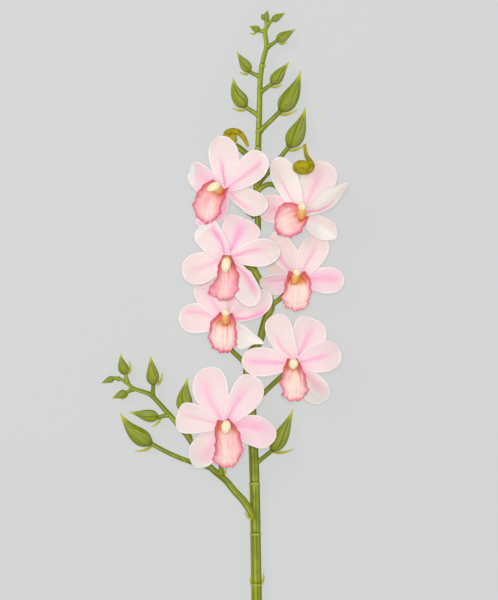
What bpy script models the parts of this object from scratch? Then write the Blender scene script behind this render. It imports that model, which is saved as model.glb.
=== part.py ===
"""A cut cymbidium orchid spray, lying on its back with its blooms open to the viewer above.

+Y runs along the stem to its tip, +X to the right of a viewer who looks down on the blooms,
and +Z up from the surface that the spray lies on. The origin is the middle of the spray's
outline, on that surface. All sizes and places are in millimetres, and MM makes them metres.
It rests on three low points: the cut end of the stem, a large bud on the side branch at the
left, and a large bud near the tip at the right.
"""

import math
from collections import namedtuple

import bmesh
import bpy
from mathutils import Vector

MM = 0.001
UP = Vector((0, 0, 1))

# Driving sizes
STEM_CUT_RADIUS = 4.2
STEM_TIP_RADIUS = 1.4
NODE_SWELL = 0.5
NODE_HALF_LENGTH = 1.3
STALK_RADIUS = 1.9
BUD_STALK_RADIUS = 1.5
BLADE_THICKNESS = 0.8
HUB_RADIUS = 4.2
FIT_GAP = 0.35
COLUMN_GAP = 0.8
COLUMN_RADIUS = 2.3
CAP_RADIUS = 3.6

# How finely the solids are divided
STEM_SIDES = 8
STALK_SIDES = 6
BUD_SIDES = 9
BUD_RINGS = 5
TEPAL_ROWS = 5
TEPAL_COLUMNS = 4
LIP_ROWS = 9
LIP_COLUMNS = 6
COLUMN_SIDES = 8

Bud = namedtuple("Bud", "foot base tip width bow")
Tepal = namedtuple("Tepal", "rise turn bend length width start end roll cup fold")
Lip = namedtuple("Lip", "base turn length horn heights left right left_wall right_wall")
Bloom = namedtuple("Bloom", "hub facing stalk column lip tepals")

# The main stem's middle line, from its cut end to its tip: it zigzags a little at each node
STEM_ROUTE = [
    (26.9, -278, 4.7), (26.9, -231, 5.0), (26.6, -198, 5.3), (26.1, -168, 5.7),
    (25.3, -145, 6.1), (24.9, -117, 6.5), (24.3, -93, 7.0), (23.5, -69, 7.5), (22.4, -44, 8.0),
    (20.0, -24, 8.5), (18.8, -10, 9.0), (21.2, 1, 9.5), (28.5, 10, 10.0), (31.3, 20, 10.5),
    (34.1, 30, 11.0), (38.4, 38, 11.5), (36.5, 48, 12.0), (30.9, 58, 12.0), (25.2, 68, 12.0),
    (22.4, 78, 12.0), (24.4, 89, 12.0), (27.3, 101, 12.0), (27.3, 113, 12.0), (26.1, 125, 11.5),
    (26.5, 137, 11.0), (27.3, 154, 10.5), (27.9, 168, 10.0), (28.3, 181, 9.7), (28.8, 194, 9.5),
    (29.2, 213, 9.2), (29.8, 226, 9.0), (32.1, 240, 8.8), (34.5, 249, 8.6), (33.7, 257, 8.6),
    (33.3, 262, 8.8), (34.9, 267, 9.0), (33.4, 273, 9.4), (34.4, 277, 9.6),
]
STEM_NODES = (-268, -227, -186, -145, -104, 181, 154)

# The side branch's middle line, from the stem to its tip
BRANCH_ROUTE = [
    (24.3, -131, 13.2), (20.4, -124, 13.6), (15.6, -117, 14.0), (8.2, -109, 14.0),
    (1.6, -101, 13.5), (-9.2, -92, 12.5), (-19.2, -81, 11.5), (-28.9, -66, 10.5),
    (-38.9, -54, 9.7), (-45.9, -46, 9.2), (-58.0, -33, 9.0), (-64.0, -30, 9.0),
    (-73.0, -27, 9.0), (-77.7, -23, 9.2), (-83.1, -19.6, 9.4), (-88.3, -18.6, 9.6),
]
BRANCH_ROOT_RADIUS = 3.2
BRANCH_TIP_RADIUS = 1.2

# Each bud: where its stalk leaves the stem, where it sits on the stalk, its tip, how wide it is,
# and how far its middle bows to the left of a line to its tip, as a share of its length
STEM_BUDS = {
    "b1": Bud((34.9, 266.6, 9), (38.8, 270.5, 9.5), (50.3, 276.9, 10), 5.0, 0.0),
    "b2": Bud((33.3, 261.7, 8.8), (29.1, 262.1, 9), (20.2, 266.4, 9.5), 5.6, 0.0),
    "b3": Bud((34.4, 248.3, 8.6), (42.7, 253.8, 9), (58.4, 263.7, 10), 8.2, 0.0),
    "b4": Bud((29.5, 224.9, 9), (21.2, 228.8, 9), (10.2, 245.5, 9), 8.4, 0.0),
    "b5": Bud((29.3, 212.3, 9.2), (38.5, 219.0, 9.5), (53.0, 237.0, 10), 9.8, 0.0),
    "b6": Bud((28.9, 193.2, 9.5), (18.0, 200.4, 9.5), (7.5, 224.8, 9.5), 11.8, 0.10),
    "b7": Bud((28.5, 180.3, 9.7), (45.5, 197.0, 9.2), (62.1, 230.3, 8.6), 14.4, -0.07),
    "b8": Bud((26.5, 136.6, 11), (52.3, 168.2, 7.0), (66.1, 200.4, 6.6), 14.4, -0.06),
    "b9": Bud((24.4, -89.0, 7), (38.6, -77.5, 9), (56.0, -43.5, 11), 12.6, -0.04),
}
BRANCH_BUDS = {
    "s1": Bud((-84.0, -19.4, 9.5), (-88.3, -18.5, 9.6), (-99.7, -22.8, 9), 5.2, 0.0),
    "s2": Bud((-78.0, -22.7, 9.2), (-79.2, -15.7, 9.2), (-83.4, 1.4, 9.4), 8.4, 0.05),
    "s3": Bud((-73.0, -27.2, 9), (-78.1, -30.1, 9), (-91.0, -35.2, 9), 6.8, 0.0),
    "s4": Bud((-57.7, -33.1, 9), (-56.9, -24.4, 9), (-59.2, -0.3, 9), 10.2, 0.0),
    "s5": Bud((-11.9, -90.0, 12), (-58.3, -71.9, 6.8), (-84.2, -46.4, 6.8), 13.6, 0.09),
    "s6": Bud((-44.6, -48.0, 9.2), (-52.6, -50.3, 9), (-77.0, -46.1, 8.6), 9.8, 0.0),
    "s7": Bud((-28.0, -67.0, 10.4), (-31.4, -46.8, 9), (-29.3, -18.5, 8.6), 12.8, 0.04),
}
# The long stalk of one side bud bends on its way, and so passes below the lowest bloom
BUD_STALK_BENDS = {"s5": [(-28, -86, 9), (-44, -79.5, 7.2)], "b8": [(38, 150, 8.2)]}

# Each small bract: its root, under a bud or at a node, and its tip
STEM_BRACTS = [
    ((26.1, 260.3, 9), (21.2, 260.0, 9.5)), ((44.5, 252.0, 9), (51.3, 252.8, 10)),
    ((19.9, 227.2, 9), (13.0, 228.8, 10)), ((38.3, 216.8, 9), (47.8, 219.0, 11)),
    ((17.6, 198.0, 9), (6.8, 199.9, 11)), ((45.2, 194.4, 8.6), (59.8, 198.6, 11)),
    ((52.4, 165.4, 7), (67.2, 171.4, 11)), ((38.6, -78.0, 8.6), (56.6, -75.6, 12)),
    ((30.9, 232.0, 9.4), (34.0, 234.4, 11)), ((24.4, 112.0, 12.6), (16.4, 116.0, 15)),
    ((24.0, -41.0, 9.0), (29.8, -36.6, 12)), ((17.9, -8.5, 9.4), (13.4, -5.6, 12)),
    ((30.0, -187.5, 6.0), (33.4, -181.0, 8)), ((23.0, -187.0, 6.0), (20.6, -181.4, 8)),
]
BRANCH_BRACTS = [
    ((-77.0, -15.3, 9), (-76.4, -4.6, 11)), ((-77.5, -31.2, 8.8), (-83.0, -35.9, 10)),
    ((-53.8, -24.4, 9), (-49.5, -14.2, 11)), ((-58.0, -73.9, 6.6), (-72.2, -77.5, 9)),
    ((-50.8, -51.2, 8.8), (-58.0, -57.8, 11)), ((21.0, -125.5, 14.4), (15.6, -120.4, 17.5)),
    ((-1.0, -98.0, 14.4), (1.6, -90.4, 18)), ((-28.0, -87.0, 9.6), (-33.6, -83.0, 12)),
]

# Petals spring from the front of the hub, and sepals from its back
FRONT = 1.0
BACK = -1.0

# Each bloom: its middle, the way it faces, the line of its stalk from the stem to its back, its
# column's tip from its middle, its lip, and its tepals one by one, with angles in degrees.
# A lip's reach to each side and the height of its walls are given at six places along it
BLOOMS = {
    "bloom_1": Bloom(
        (1.2, 132.3, 36), (-0.30, -0.10, 1), [(25, 112, 12), (14, 120, 15), (5, 130, 20)],
        (-11.6, 3.4, 12.0),
        Lip(
            (-7.0, -5.4), -118, 21.5, 6.5, (3.8, 7.5, 5.5),
            (7, 13.5, 16, 14.5, 11.5, 6.5), (5.5, 6, 6, 8, 6.5, 3),
            (1, 3, 3, 2, 1, 0), (5, 7, 7, 4, 2, 0),
        ),
        [
            Tepal(BACK, 92.9, 0, 43.5, 23.8, 8, -10, 0, 16, 0),
            Tepal(FRONT, 38, 0, 43.5, 24, 20, -4, -12, 18, 0),
            Tepal(BACK, -21, 0, 37, 21, 16, -2, 12, 16, 0),
            Tepal(FRONT, 155, 0, 35, 22, 4, -30, -20, 18, 0),
            Tepal(BACK, -133, -50, 37, 20, -6, -14, 25, 16, 0),
        ],
    ),
    "bloom_2": Bloom(
        (62.6, 113.0, 32), (-0.18, -0.12, 1), [(26, 132, 12), (38, 138, 12.5), (54, 128, 16)],
        (0.8, 6.4, 12.0),
        Lip(
            (-3.0, -4.6), -149, 20, 8, (4.0, 8, 6),
            (8, 13.5, 16.5, 13, 13.5, 7), (5, 6.5, 8, 9, 8, 4),
            (3, 3, 2, 1, 1, 0), (6, 5, 3, 2, 1, 0),
        ),
        [
            Tepal(FRONT, 113.9, 0, 51, 21, -4, -18, -4, 14, 0),
            Tepal(BACK, 66, 0, 47.5, 27, -6, -16, 0, 12, 0),
            Tepal(FRONT, 34, 14, 45, 22, 26, 10, -50, 20, 0),
            Tepal(BACK, -42, 0, 33.5, 19, -8, -4, 6, -12, 30),
            Tepal(BACK, 169, 0, 36, 23, -4, -20, 0, 16, 0),
        ],
    ),
    "bloom_3": Bloom(
        (3.7, 78.7, 41), (0.0, -0.10, 1), [(24, 70, 12), (16, 72, 17), (7, 77, 25)],
        (-1.6, -8.8, 12.0),
        Lip(
            (-0.4, -3.8), -94, 30.5, 5, (4.5, 7.5, 6),
            (5, 6, 7, 8.5, 14, 9), (5, 6.5, 9, 10, 10, 5.5),
            (4, 5, 6, 5, 2, 0), (4, 6, 7, 7, 4, 0),
        ),
        [
            Tepal(BACK, 66, 0, 35.5, 29, 8, -22, 0, 14, 0),
            Tepal(FRONT, 138, 0, 34, 26, 14, -24, -6, 8, 0),
            Tepal(BACK, 202, 0, 39, 25.5, 4, -12, 4, 10, 0),
            Tepal(FRONT, 4, 0, 42, 22, 10, -8, 6, 18, 0),
            Tepal(BACK, -61, 0, 46, 21, -2, -8, -16, 16, 0),
        ],
    ),
    "bloom_4": Bloom(
        (59.7, 61.3, 25), (-0.05, -0.10, 1), [(38, 40, 11.5), (46, 46, 11.8), (54, 54, 12.6)],
        (-0.8, 6.0, 13.2),
        Lip(
            (-1.4, -4.4), -91, 23, 8.5, (4.5, 8, 6),
            (6.5, 8.5, 10, 10.5, 10, 6.5), (5.6, 11, 12, 11, 9.5, 6.5),
            (7, 6, 4, 2, 1, 0), (7, 6, 4, 2, 1, 0),
        ),
        [
            Tepal(BACK, 118, 0, 43, 21.5, -4, -8, -8, 16, 0),
            Tepal(FRONT, 61, 0, 40, 23, 2, -12, 0, 14, 0),
            Tepal(BACK, -2.5, 0, 37, 21.6, 2, -8, 0, 16, 0),
            Tepal(FRONT, 183, 0, 32, 20, 16, -14, -30, 20, 0),
            Tepal(BACK - 1.4, 153, 0, 34, 20, -10, -12, -6, 4, 0),
        ],
    ),
    "bloom_5": Bloom(
        (2.0, 27.7, 26), (0.0, -0.10, 1), [(20, -9, 9), (12, -1.5, 11), (4.5, 8, 12.5)],
        (0.0, 7.4, 12.0),
        Lip(
            (-0.4, -3.8), -94, 21.5, 9.5, (4.5, 8, 6),
            (5.5, 11, 10, 11.5, 9.5, 7), (5, 8, 9, 10.5, 9, 5),
            (7, 5, 3, 2, 1, 0), (7, 5, 4, 3, 1, 0),
        ),
        [
            Tepal(BACK, 175, 0, 38, 24.5, 2, -8, 0, 14, 0),
            Tepal(FRONT, 124, 0, 39, 21, 4, -6, 0, 16, 0),
            Tepal(BACK, 75, 0, 38, 22, -2, -4, 0, 14, 0),
            Tepal(FRONT, 30.3, 0, 42, 21, 6, 0, 8, 18, 0),
            Tepal(BACK, -33, 12, 41, 17.5, -6, -6, 10, 14, 20),
        ],
    ),
    "bloom_6": Bloom(
        (57.2, -6.6, 32), (-0.05, -0.12, 1), [(22.5, -41, 8.2), (36, -27, 11), (52, -12, 16)],
        (-1.0, 0.0, 13.5),
        Lip(
            (-0.4, -3.8), -90, 26.5, 9, (4.5, 8, 6),
            (5, 7.5, 10.5, 9.5, 11, 8), (5, 6.5, 8.5, 9, 11, 7),
            (4, 6, 5, 4, 2, 0), (4, 6, 7, 6, 3, 0),
        ),
        [
            Tepal(BACK, 176.8, 0, 44, 23.5, 6, -12, 4, 14, 0),
            Tepal(FRONT, 113, 0, 43, 24, 10, -12, 0, 16, 0),
            Tepal(BACK, 64.5, 0, 39.5, 26.5, 6, -16, 0, 14, 0),
            Tepal(FRONT, 9, 0, 37.5, 23.5, 10, -18, 0, 16, 0),
            Tepal(BACK, -52, 0, 40, 22, -2, -24, 14, 14, 0),
        ],
    ),
    "bloom_7": Bloom(
        (-0.3, -55.2, 36), (0.04, -0.10, 1), [(-2, -96.5, 13.5), (-2, -86, 16), (-1, -66, 21)],
        (2.7, -2.8, 13.0),
        Lip(
            (1.2, -4.4), -82, 29, 10, (4.5, 8, 6),
            (5, 6.5, 7.5, 10, 12, 9), (5, 11, 13, 13.5, 10.5, 5.5),
            (4, 6, 7, 5, 2, 0), (4, 6, 6, 4, 2, 0),
        ),
        [
            Tepal(FRONT, 168, 0, 40, 24, 12, -12, 0, 16, 0),
            Tepal(BACK, 106, 0, 48, 29.5, 6, -14, 0, 14, 0),
            Tepal(FRONT, 53.5, 0, 47, 25.6, 12, -12, 0, 16, 0),
            Tepal(BACK, -9.5, 0, 43.5, 25, 4, -12, 0, 14, 0),
            Tepal(BACK, -131, 0, 40, 23, 0, -28, 10, 14, 0),
        ],
    ),
}

# Each curled bud: the line from its thin tail to the middle of its coil, and the radius there
CURL_LEFT = [
    (19.4, 168.5, 14), (18.0, 173.8, 15), (15.2, 178.4, 16), (11.0, 180.8, 17), (6.2, 180.4, 17.5),
    (3.2, 177.2, 18), (4.0, 173.8, 18.5), (7.6, 172.6, 19),
]
CURL_RIGHT = [
    (65.4, 168.6, 14.5), (66.3, 164.0, 19), (67.9, 160.0, 24), (70.6, 156.2, 29),
    (71.2, 152.2, 32), (68.8, 148.8, 33), (63.7, 147.4, 33), (59.2, 147.9, 33),
    (57.0, 150.6, 33), (59.2, 153.3, 33.5), (62.9, 153.5, 34),
]
CURL_TAIL_RADIUS = 1.2
CURL_COIL_RADIUS = 2.4
CURL_STALKS = [
    [(26.6, 156, 11), (21, 160, 12.5), (14.0, 166.0, 14.2), (9.6, 169.0, 16)],
]

GREEN = (0.22, 0.27, 0.02, 1)
OLIVE = (0.42, 0.34, 0.02, 1)
PALE_PINK = (0.90, 0.70, 0.71, 1)
LIP_PINK = (0.87, 0.40, 0.40, 1)
CREAM = (0.93, 0.86, 0.58, 1)


def smooth_step(x):
    """0 below 0, 1 above 1, and a soft rise between."""
    x = min(max(x, 0.0), 1.0)
    return x * x * (3 - 2 * x)


def plan_direction(turn):
    """The level unit vector that lies at this many degrees from +X."""
    return Vector((math.cos(math.radians(turn)), math.sin(math.radians(turn)), 0))


def smooth_curve(points, per_span):
    """A soft curve through all the points, with per_span steps between each two."""
    p = [Vector(q) for q in points]
    p = [2 * p[0] - p[1], *p, 2 * p[-1] - p[-2]]
    curve = []
    for a, b, c, d in zip(p, p[1:], p[2:], p[3:]):
        for k in range(per_span):
            t = k / per_span
            curve.append(
                0.5 * (2 * b + (c - a) * t + (2 * a - 5 * b + 4 * c - d) * t * t
                       + (3 * b - a - 3 * c + d) * t**3)
            )
    return curve + [p[-2]]


def skin(rings, close_ends=True):
    """A closed body through rings of points, each ring with the same number of corners."""
    body = bmesh.new()
    made = [[body.verts.new(point * MM) for point in ring] for ring in rings]
    count = len(rings[0])
    for low, high in zip(made, made[1:]):
        for k in range(count):
            n = (k + 1) % count
            body.faces.new((low[k], low[n], high[n], high[k]))
    if close_ends:
        body.faces.new(made[0][::-1])
        body.faces.new(made[-1])
    bmesh.ops.recalc_face_normals(body, faces=body.faces)
    bmesh.ops.triangulate(body, faces=body.faces)
    return body


def tube(line, radii, sides, shape=None):
    """A round body along a line, which doesn't twist. shape(k, angle) may change ring k's radius."""
    rings, across = [], None
    for k, (point, radius) in enumerate(zip(line, radii)):
        ahead = line[min(k + 1, len(line) - 1)] - line[max(k - 1, 0)]
        ahead.normalize()
        if across is None:
            across = ahead.cross(UP if abs(ahead.z) < 0.9 else Vector((0, 1, 0)))
        across = (across - ahead * across.dot(ahead)).normalized()
        above = across.cross(ahead)
        ring = []
        for side in range(sides):
            angle = 2 * math.pi * side / sides
            r = radius * (shape(k, angle) if shape else 1)
            ring.append(point + (across * math.cos(angle) + above * math.sin(angle)) * r)
        rings.append(ring)
    return skin(rings)


def blade(middle, columns):
    """A thin closed sheet round a grid of points, rows of columns + 1, split alike on both faces.

    Points of the grid that coincide, as at a round tip, become one."""
    places, points, order = {}, [], []
    for row in middle:
        for p in row:
            key = (round(p.x, 2), round(p.y, 2), round(p.z, 2))
            if key not in places:
                places[key] = len(points)
                points.append(p)
            order.append(places[key])
    count = columns + 1
    faces = []
    for r in range(len(middle) - 1):
        for c in range(columns):
            a, b = order[r * count + c], order[r * count + c + 1]
            d, e = order[(r + 1) * count + c], order[(r + 1) * count + c + 1]
            faces += [face for face in ((a, b, e), (a, e, d)) if len(set(face)) == 3]
    normals = [Vector() for _ in points]
    for a, b, c in faces:
        normal = (points[b] - points[a]).cross(points[c] - points[a])
        for k in (a, b, c):
            normals[k] += normal
    body = bmesh.new()
    half = BLADE_THICKNESS / 2
    offsets = [n.normalized() * half for n in normals]
    front = [body.verts.new((p + o) * MM) for p, o in zip(points, offsets)]
    back = [body.verts.new((p - o) * MM) for p, o in zip(points, offsets)]
    for a, b, c in faces:
        body.faces.new((front[a], front[b], front[c]))
        body.faces.new((back[c], back[b], back[a]))
    last = (len(middle) - 1) * count
    rim = [*range(columns), *range(columns, last + columns, count)]
    rim += [*range(last + columns, last, -1), *range(last, 0, -count)]
    rim = [order[k] for k in rim]
    for a, b in zip(rim, rim[1:] + rim[:1]):
        if a != b:
            body.faces.new((front[a], back[a], back[b]))
            body.faces.new((front[a], back[b], front[b]))
    bmesh.ops.recalc_face_normals(body, faces=body.faces)
    return body


def sheet_points(root, turn, bend, length, rows, columns, half_width, elevation, roll, cup, ripple):
    """A grid on a leaf-like surface that leaves root in the direction turn.

    At each share t of its length, elevation(t) is the slope of its midrib above the level,
    half_width(t) its reach to each side, and cup(t) the angle to which its edges lift. Its
    midrib swings by bend on the way, half before the middle and half after."""
    fine = 8
    point, grid = Vector(root), []
    for row in range(rows + 1):
        t = math.sin(math.pi / 2 * row / rows)
        slope = math.radians(elevation(t))
        ahead_level = plan_direction(turn + bend * (t - 0.5))
        across = UP.cross(ahead_level) * math.cos(roll) + (
            UP * math.cos(slope) - ahead_level * math.sin(slope)
        ) * math.sin(roll)
        ahead = ahead_level * math.cos(slope) + UP * math.sin(slope)
        above = ahead.cross(across)
        half, arch = half_width(t), math.radians(cup(t))
        line = []
        for column in range(columns + 1):
            s = 2 * column / columns - 1
            if abs(arch) < 1e-3:
                out, lift = half * s, 0.0
            else:
                out = half * math.sin(arch * s) / arch
                lift = half * (1 - math.cos(arch * s)) / arch
            wave = ripple(t, s) * min(half, 1.0)
            line.append(point + across * out + above * (lift + wave))
        grid.append(line)
        after = math.sin(math.pi / 2 * (row + 1) / rows)
        for step in range(fine):
            share = t + (after - t) * (step + 0.5) / fine
            angle = math.radians(elevation(share))
            level = plan_direction(turn + bend * (share - 0.5))
            reach = (after - t) * length / fine
            point = point + (level * math.cos(angle) + UP * math.sin(angle)) * reach
    return grid


def tepal_body(hub, facing, tepal):
    """One petal or sepal: narrow at its root, widest past its middle, with a round tip."""
    claw, widest = 0.08, 0.432

    def half_width(t):
        return tepal.width / 2 * (t + claw) * math.sqrt(max(1 - t, 0)) / widest

    def elevation(t):
        tip_fold = tepal.fold * smooth_step((t - 0.45) / 0.35)
        return tepal.start + (tepal.end - tepal.start) * t + tip_fold

    def ripple(t, s):
        return 0.5 * s * s * smooth_step(t * 1.4) * math.sin(7 * t + 2.5 * s + tepal.turn)

    grid = sheet_points(
        hub + facing * tepal.rise, tepal.turn, tepal.bend, tepal.length, TEPAL_ROWS,
        TEPAL_COLUMNS, half_width, elevation, math.radians(tepal.roll),
        lambda t: tepal.cup * smooth_step(t * 1.2), ripple,
    )
    return blade(grid, TEPAL_COLUMNS)


def at_share(values, t):
    """The value at share t along a row of values that are evenly spaced, softly joined."""
    place = min(max(t, 0.0), 1.0) * (len(values) - 1)
    k = min(int(place), len(values) - 2)
    before, after = values[max(k - 1, 0)], values[min(k + 2, len(values) - 1)]
    low, high, x = values[k], values[k + 1], place - k
    return 0.5 * (
        2 * low + (high - before) * x + (2 * before - 5 * low + 4 * high - after) * x * x
        + (3 * low - before - 3 * high + after) * x**3
    )


def lip_body(hub, lip):
    """The lip: a trough whose walls reach back round the column, and a frilled lobe at its end."""
    ahead = plan_direction(lip.turn)
    side = UP.cross(ahead)
    root = hub + Vector((*lip.base, 0))
    grid = []
    for row in range(LIP_ROWS + 1):
        t = row / LIP_ROWS
        line = []
        for column in range(LIP_COLUMNS + 1):
            s = 2 * column / LIP_COLUMNS - 1
            reach = at_share(lip.right if s > 0 else lip.left, t)
            wall = at_share(lip.right_wall if s > 0 else lip.left_wall, t)
            edge = abs(s) ** 4 * smooth_step((t - 0.1) / 0.4) * smooth_step((1 - t) / 0.3)
            along = lip.length * (t - 0.14 * s * s * t**3) - lip.horn * s * s * (1 - t) ** 2
            open_out = smooth_step((t - 0.4) / 0.4)
            share = math.sin(math.pi / 2 * s) * (1 - open_out) + s * open_out
            out = reach * share + edge * 0.5 * math.copysign(1, s) * (-1) ** row
            rise = at_share(lip.heights, t) + wall * abs(s) ** 2.2 + 0.6 * edge * (-1) ** row
            line.append(root + ahead * along + side * out + UP * rise)
        grid.append(line)
    return blade(grid, LIP_COLUMNS)


def column_body(hub, facing, reach):
    """The column: a short arched post, with the round anther cap on its end."""
    start = hub + facing * (HUB_RADIUS + COLUMN_GAP)
    end = hub + Vector(reach)
    span = end - start
    sideways = (span - facing * span.dot(facing)).length
    bend = start.lerp(end, 0.5) + facing * min(0.42 * span.length, 0.09 * sideways**2)
    line = smooth_curve([start, bend, end], 3)
    last = len(line) - 1
    radii = []
    for k in range(len(line)):
        t = k / last
        cap = smooth_step((t - 0.55) / 0.2)
        radius = COLUMN_RADIUS + (CAP_RADIUS - COLUMN_RADIUS) * cap
        radii.append(radius * (0.55 if k == last else 1))
    return tube(line, radii, COLUMN_SIDES)


def bud_body(bud):
    """A closed bud: a drop with three seams, full near its base and drawn out to a bent tip."""
    base, tip = Vector(bud.base), Vector(bud.tip)
    along = tip - base
    sideways = UP.cross(along) * bud.bow
    line, radii = [], []
    for k in range(BUD_RINGS + 1):
        t = k / BUD_RINGS
        line.append(base + along * t + sideways * math.sin(math.pi * t))
        full = math.sin(math.pi * (0.06 + 0.90 * t) ** 0.66)
        radii.append(max(bud.width / 2 * full, 0.45))

    def seams(k, angle):
        return 1 + 0.07 * math.cos(3 * angle)

    return tube(line, radii, BUD_SIDES, seams)


def bract_body(root, tip):
    """A small pointed scale, curved up to its tip."""
    root, tip = Vector(root), Vector(tip)
    span = tip - root
    turn = math.degrees(math.atan2(span.y, span.x))
    climb = math.degrees(math.atan2(span.z, math.hypot(span.x, span.y)))
    width = 2.2 + 0.08 * span.length
    grid = sheet_points(
        root, turn, 0, span.length, 2, 2, lambda t: width / 2 * (1 - 0.75 * t),
        lambda t: climb * (0.5 + t), 0, lambda t: 30, lambda t, s: 0,
    )
    return blade(grid, 2)


def stalk_body(points, start_radius, end_radius, per_span=3):
    """A round stalk that tapers along a soft line."""
    line = smooth_curve(points, per_span)
    last = len(line) - 1
    radii = [start_radius + (end_radius - start_radius) * k / last for k in range(last + 1)]
    return tube(line, radii, STALK_SIDES)


def bud_pieces(buds):
    """The stalk and the bud of each."""
    pieces = []
    for name, bud in buds.items():
        base, tip = Vector(bud.base), Vector(bud.tip)
        inside = base + (tip - base).normalized() * bud.width * 0.25
        route = [bud.foot, *BUD_STALK_BENDS.get(name, []), bud.base, inside]
        radius = BUD_STALK_RADIUS * (0.55 + 0.45 * bud.width / 14)
        pieces += [stalk_body(route, radius * 1.1, radius, 1), bud_body(bud)]
    return pieces


def main_stem():
    """The stem from its cut end to its tip, swollen at its nodes."""
    line = smooth_curve(STEM_ROUTE, 1)
    low, high = STEM_ROUTE[0][1], STEM_ROUTE[-1][1]
    extra = []
    for node in STEM_NODES:
        for offset in (-NODE_HALF_LENGTH, 0, NODE_HALF_LENGTH):
            extra.append(node + offset)
    stations = []
    for a, b in zip(line, line[1:]):
        stations.append(a)
        for y in sorted(extra):
            if a.y < y <= b.y:
                stations.append(a.lerp(b, (y - a.y) / (b.y - a.y)))
    stations.append(line[-1])
    stations = [p for k, p in enumerate(stations) if k == 0 or (p - stations[k - 1]).length > 0.4]
    radii = []
    for point in stations:
        share = (point.y - low) / (high - low)
        taper = 2.1 * share + 0.7 * smooth_step((share - 0.82) / 0.08)
        near = min(abs(point.y - node) for node in STEM_NODES)
        swell = NODE_SWELL * max(0, 1 - near / NODE_HALF_LENGTH)
        radii.append(max(STEM_CUT_RADIUS - taper + swell, STEM_TIP_RADIUS))
    return tube(stations, radii, STEM_SIDES)


def collect(name):
    """A hidden collection that holds one node's pieces until they are joined."""
    group = bpy.data.collections.new(name)
    bpy.context.scene.collection.children.link(group)
    return group


def add_object(name, body, group=None):
    """An object from a body, in the scene or in a group of pieces."""
    mesh = bpy.data.meshes.new(name)
    body.to_mesh(mesh)
    body.free()
    made = bpy.data.objects.new(name, mesh)
    (group or bpy.context.scene.collection).objects.link(made)
    return made


def joined(name, bodies, material):
    """One solid node from several bodies that overlap, by one Boolean union."""
    node = add_object(name, bodies[0])
    if len(bodies) > 1:
        group = collect(name + "_pieces")
        for k, body in enumerate(bodies[1:]):
            add_object(f"{name}_piece_{k}", body, group)
        union = node.modifiers.new("join", "BOOLEAN")
        union.operation = "UNION"
        union.operand_type = "COLLECTION"
        union.collection = group
        union.solver = "MANIFOLD"
        graph = bpy.context.evaluated_depsgraph_get()
        whole = bpy.data.meshes.new_from_object(node.evaluated_get(graph))
        node.modifiers.clear()
        node.data = whole
        for piece in list(group.objects):
            bpy.data.objects.remove(piece)
        bpy.data.collections.remove(group)
    node.data.materials.clear()
    node.data.materials.append(material)
    node.data.shade_smooth()
    node.data.set_sharp_from_angle(angle=math.radians(40))
    return node


def finish(name, colour, roughness):
    """A plain surface finish."""
    made = bpy.data.materials.new(name)
    made.use_nodes = True
    shader = made.node_tree.nodes["Principled BSDF"]
    shader.inputs["Base Color"].default_value = colour
    shader.inputs["Roughness"].default_value = roughness
    shader.inputs["Metallic"].default_value = 0.0
    return made


def bloom_stalk(bloom):
    """The stalk of a bloom, which stops just behind the bloom's hub."""
    hub, facing = Vector(bloom.hub), Vector(bloom.facing).normalized()
    back = hub - facing * (HUB_RADIUS + FIT_GAP)
    before = back - facing * 6
    return stalk_body([*bloom.stalk, before, back], STALK_RADIUS * 1.1, STALK_RADIUS, 2)


def add_bloom(name, bloom, finishes):
    """A bloom's three nodes: its tepals on their hub, its lip and its column."""
    hub, facing = Vector(bloom.hub), Vector(bloom.facing).normalized()
    core = bmesh.new()
    bmesh.ops.create_icosphere(core, subdivisions=2, radius=HUB_RADIUS * MM)
    bmesh.ops.translate(core, verts=core.verts, vec=hub * MM)
    tepals = [tepal_body(hub, facing, tepal) for tepal in bloom.tepals]
    joined(name + "_tepals", [core, *tepals], finishes["tepals"])
    joined(name + "_lip", [lip_body(hub, bloom.lip)], finishes["lip"])
    joined(name + "_column", [column_body(hub, facing, bloom.column)], finishes["column"])


def curled_bud(points):
    """A young bud rolled up like a snail, with a thin tail."""
    line = smooth_curve(points, 2)
    last = len(line) - 1
    radii = []
    for k in range(last + 1):
        grow = smooth_step(k / last * 1.9)
        radii.append(CURL_TAIL_RADIUS + (CURL_COIL_RADIUS - CURL_TAIL_RADIUS) * grow)
    return tube(line, radii, BUD_SIDES)


def main():
    for old in list(bpy.data.objects):
        bpy.data.objects.remove(old)
    green = finish("stem_green", GREEN, 0.45)
    finishes = {
        "tepals": finish("tepal_pink", PALE_PINK, 0.5),
        "lip": finish("lip_pink", LIP_PINK, 0.5),
        "column": finish("column_cream", CREAM, 0.45),
    }
    olive = finish("curl_olive", OLIVE, 0.5)

    stem = [main_stem()]
    stem += bud_pieces(STEM_BUDS)
    stem += [bract_body(*bract) for bract in STEM_BRACTS]
    stem += [bloom_stalk(bloom) for name, bloom in BLOOMS.items() if name != "bloom_7"]
    stem += [stalk_body(route, 1.9, 1.6) for route in CURL_STALKS]
    joined("stem", stem, green)

    branch_line = smooth_curve(BRANCH_ROUTE, 1)
    last = len(branch_line) - 1
    taper = BRANCH_ROOT_RADIUS - BRANCH_TIP_RADIUS
    branch = [
        tube(branch_line, [BRANCH_ROOT_RADIUS - taper * k / last for k in range(last + 1)], 8)
    ]
    branch += bud_pieces(BRANCH_BUDS)
    branch += [bract_body(*bract) for bract in BRANCH_BRACTS]
    branch.append(bloom_stalk(BLOOMS["bloom_7"]))
    joined("side_branch", branch, green)

    for name, bloom in BLOOMS.items():
        add_bloom(name, bloom, finishes)
    joined("curled_bud_left", [curled_bud(CURL_LEFT)], olive)
    joined("curled_bud_right", [curled_bud(CURL_RIGHT)], olive)


main()
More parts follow.
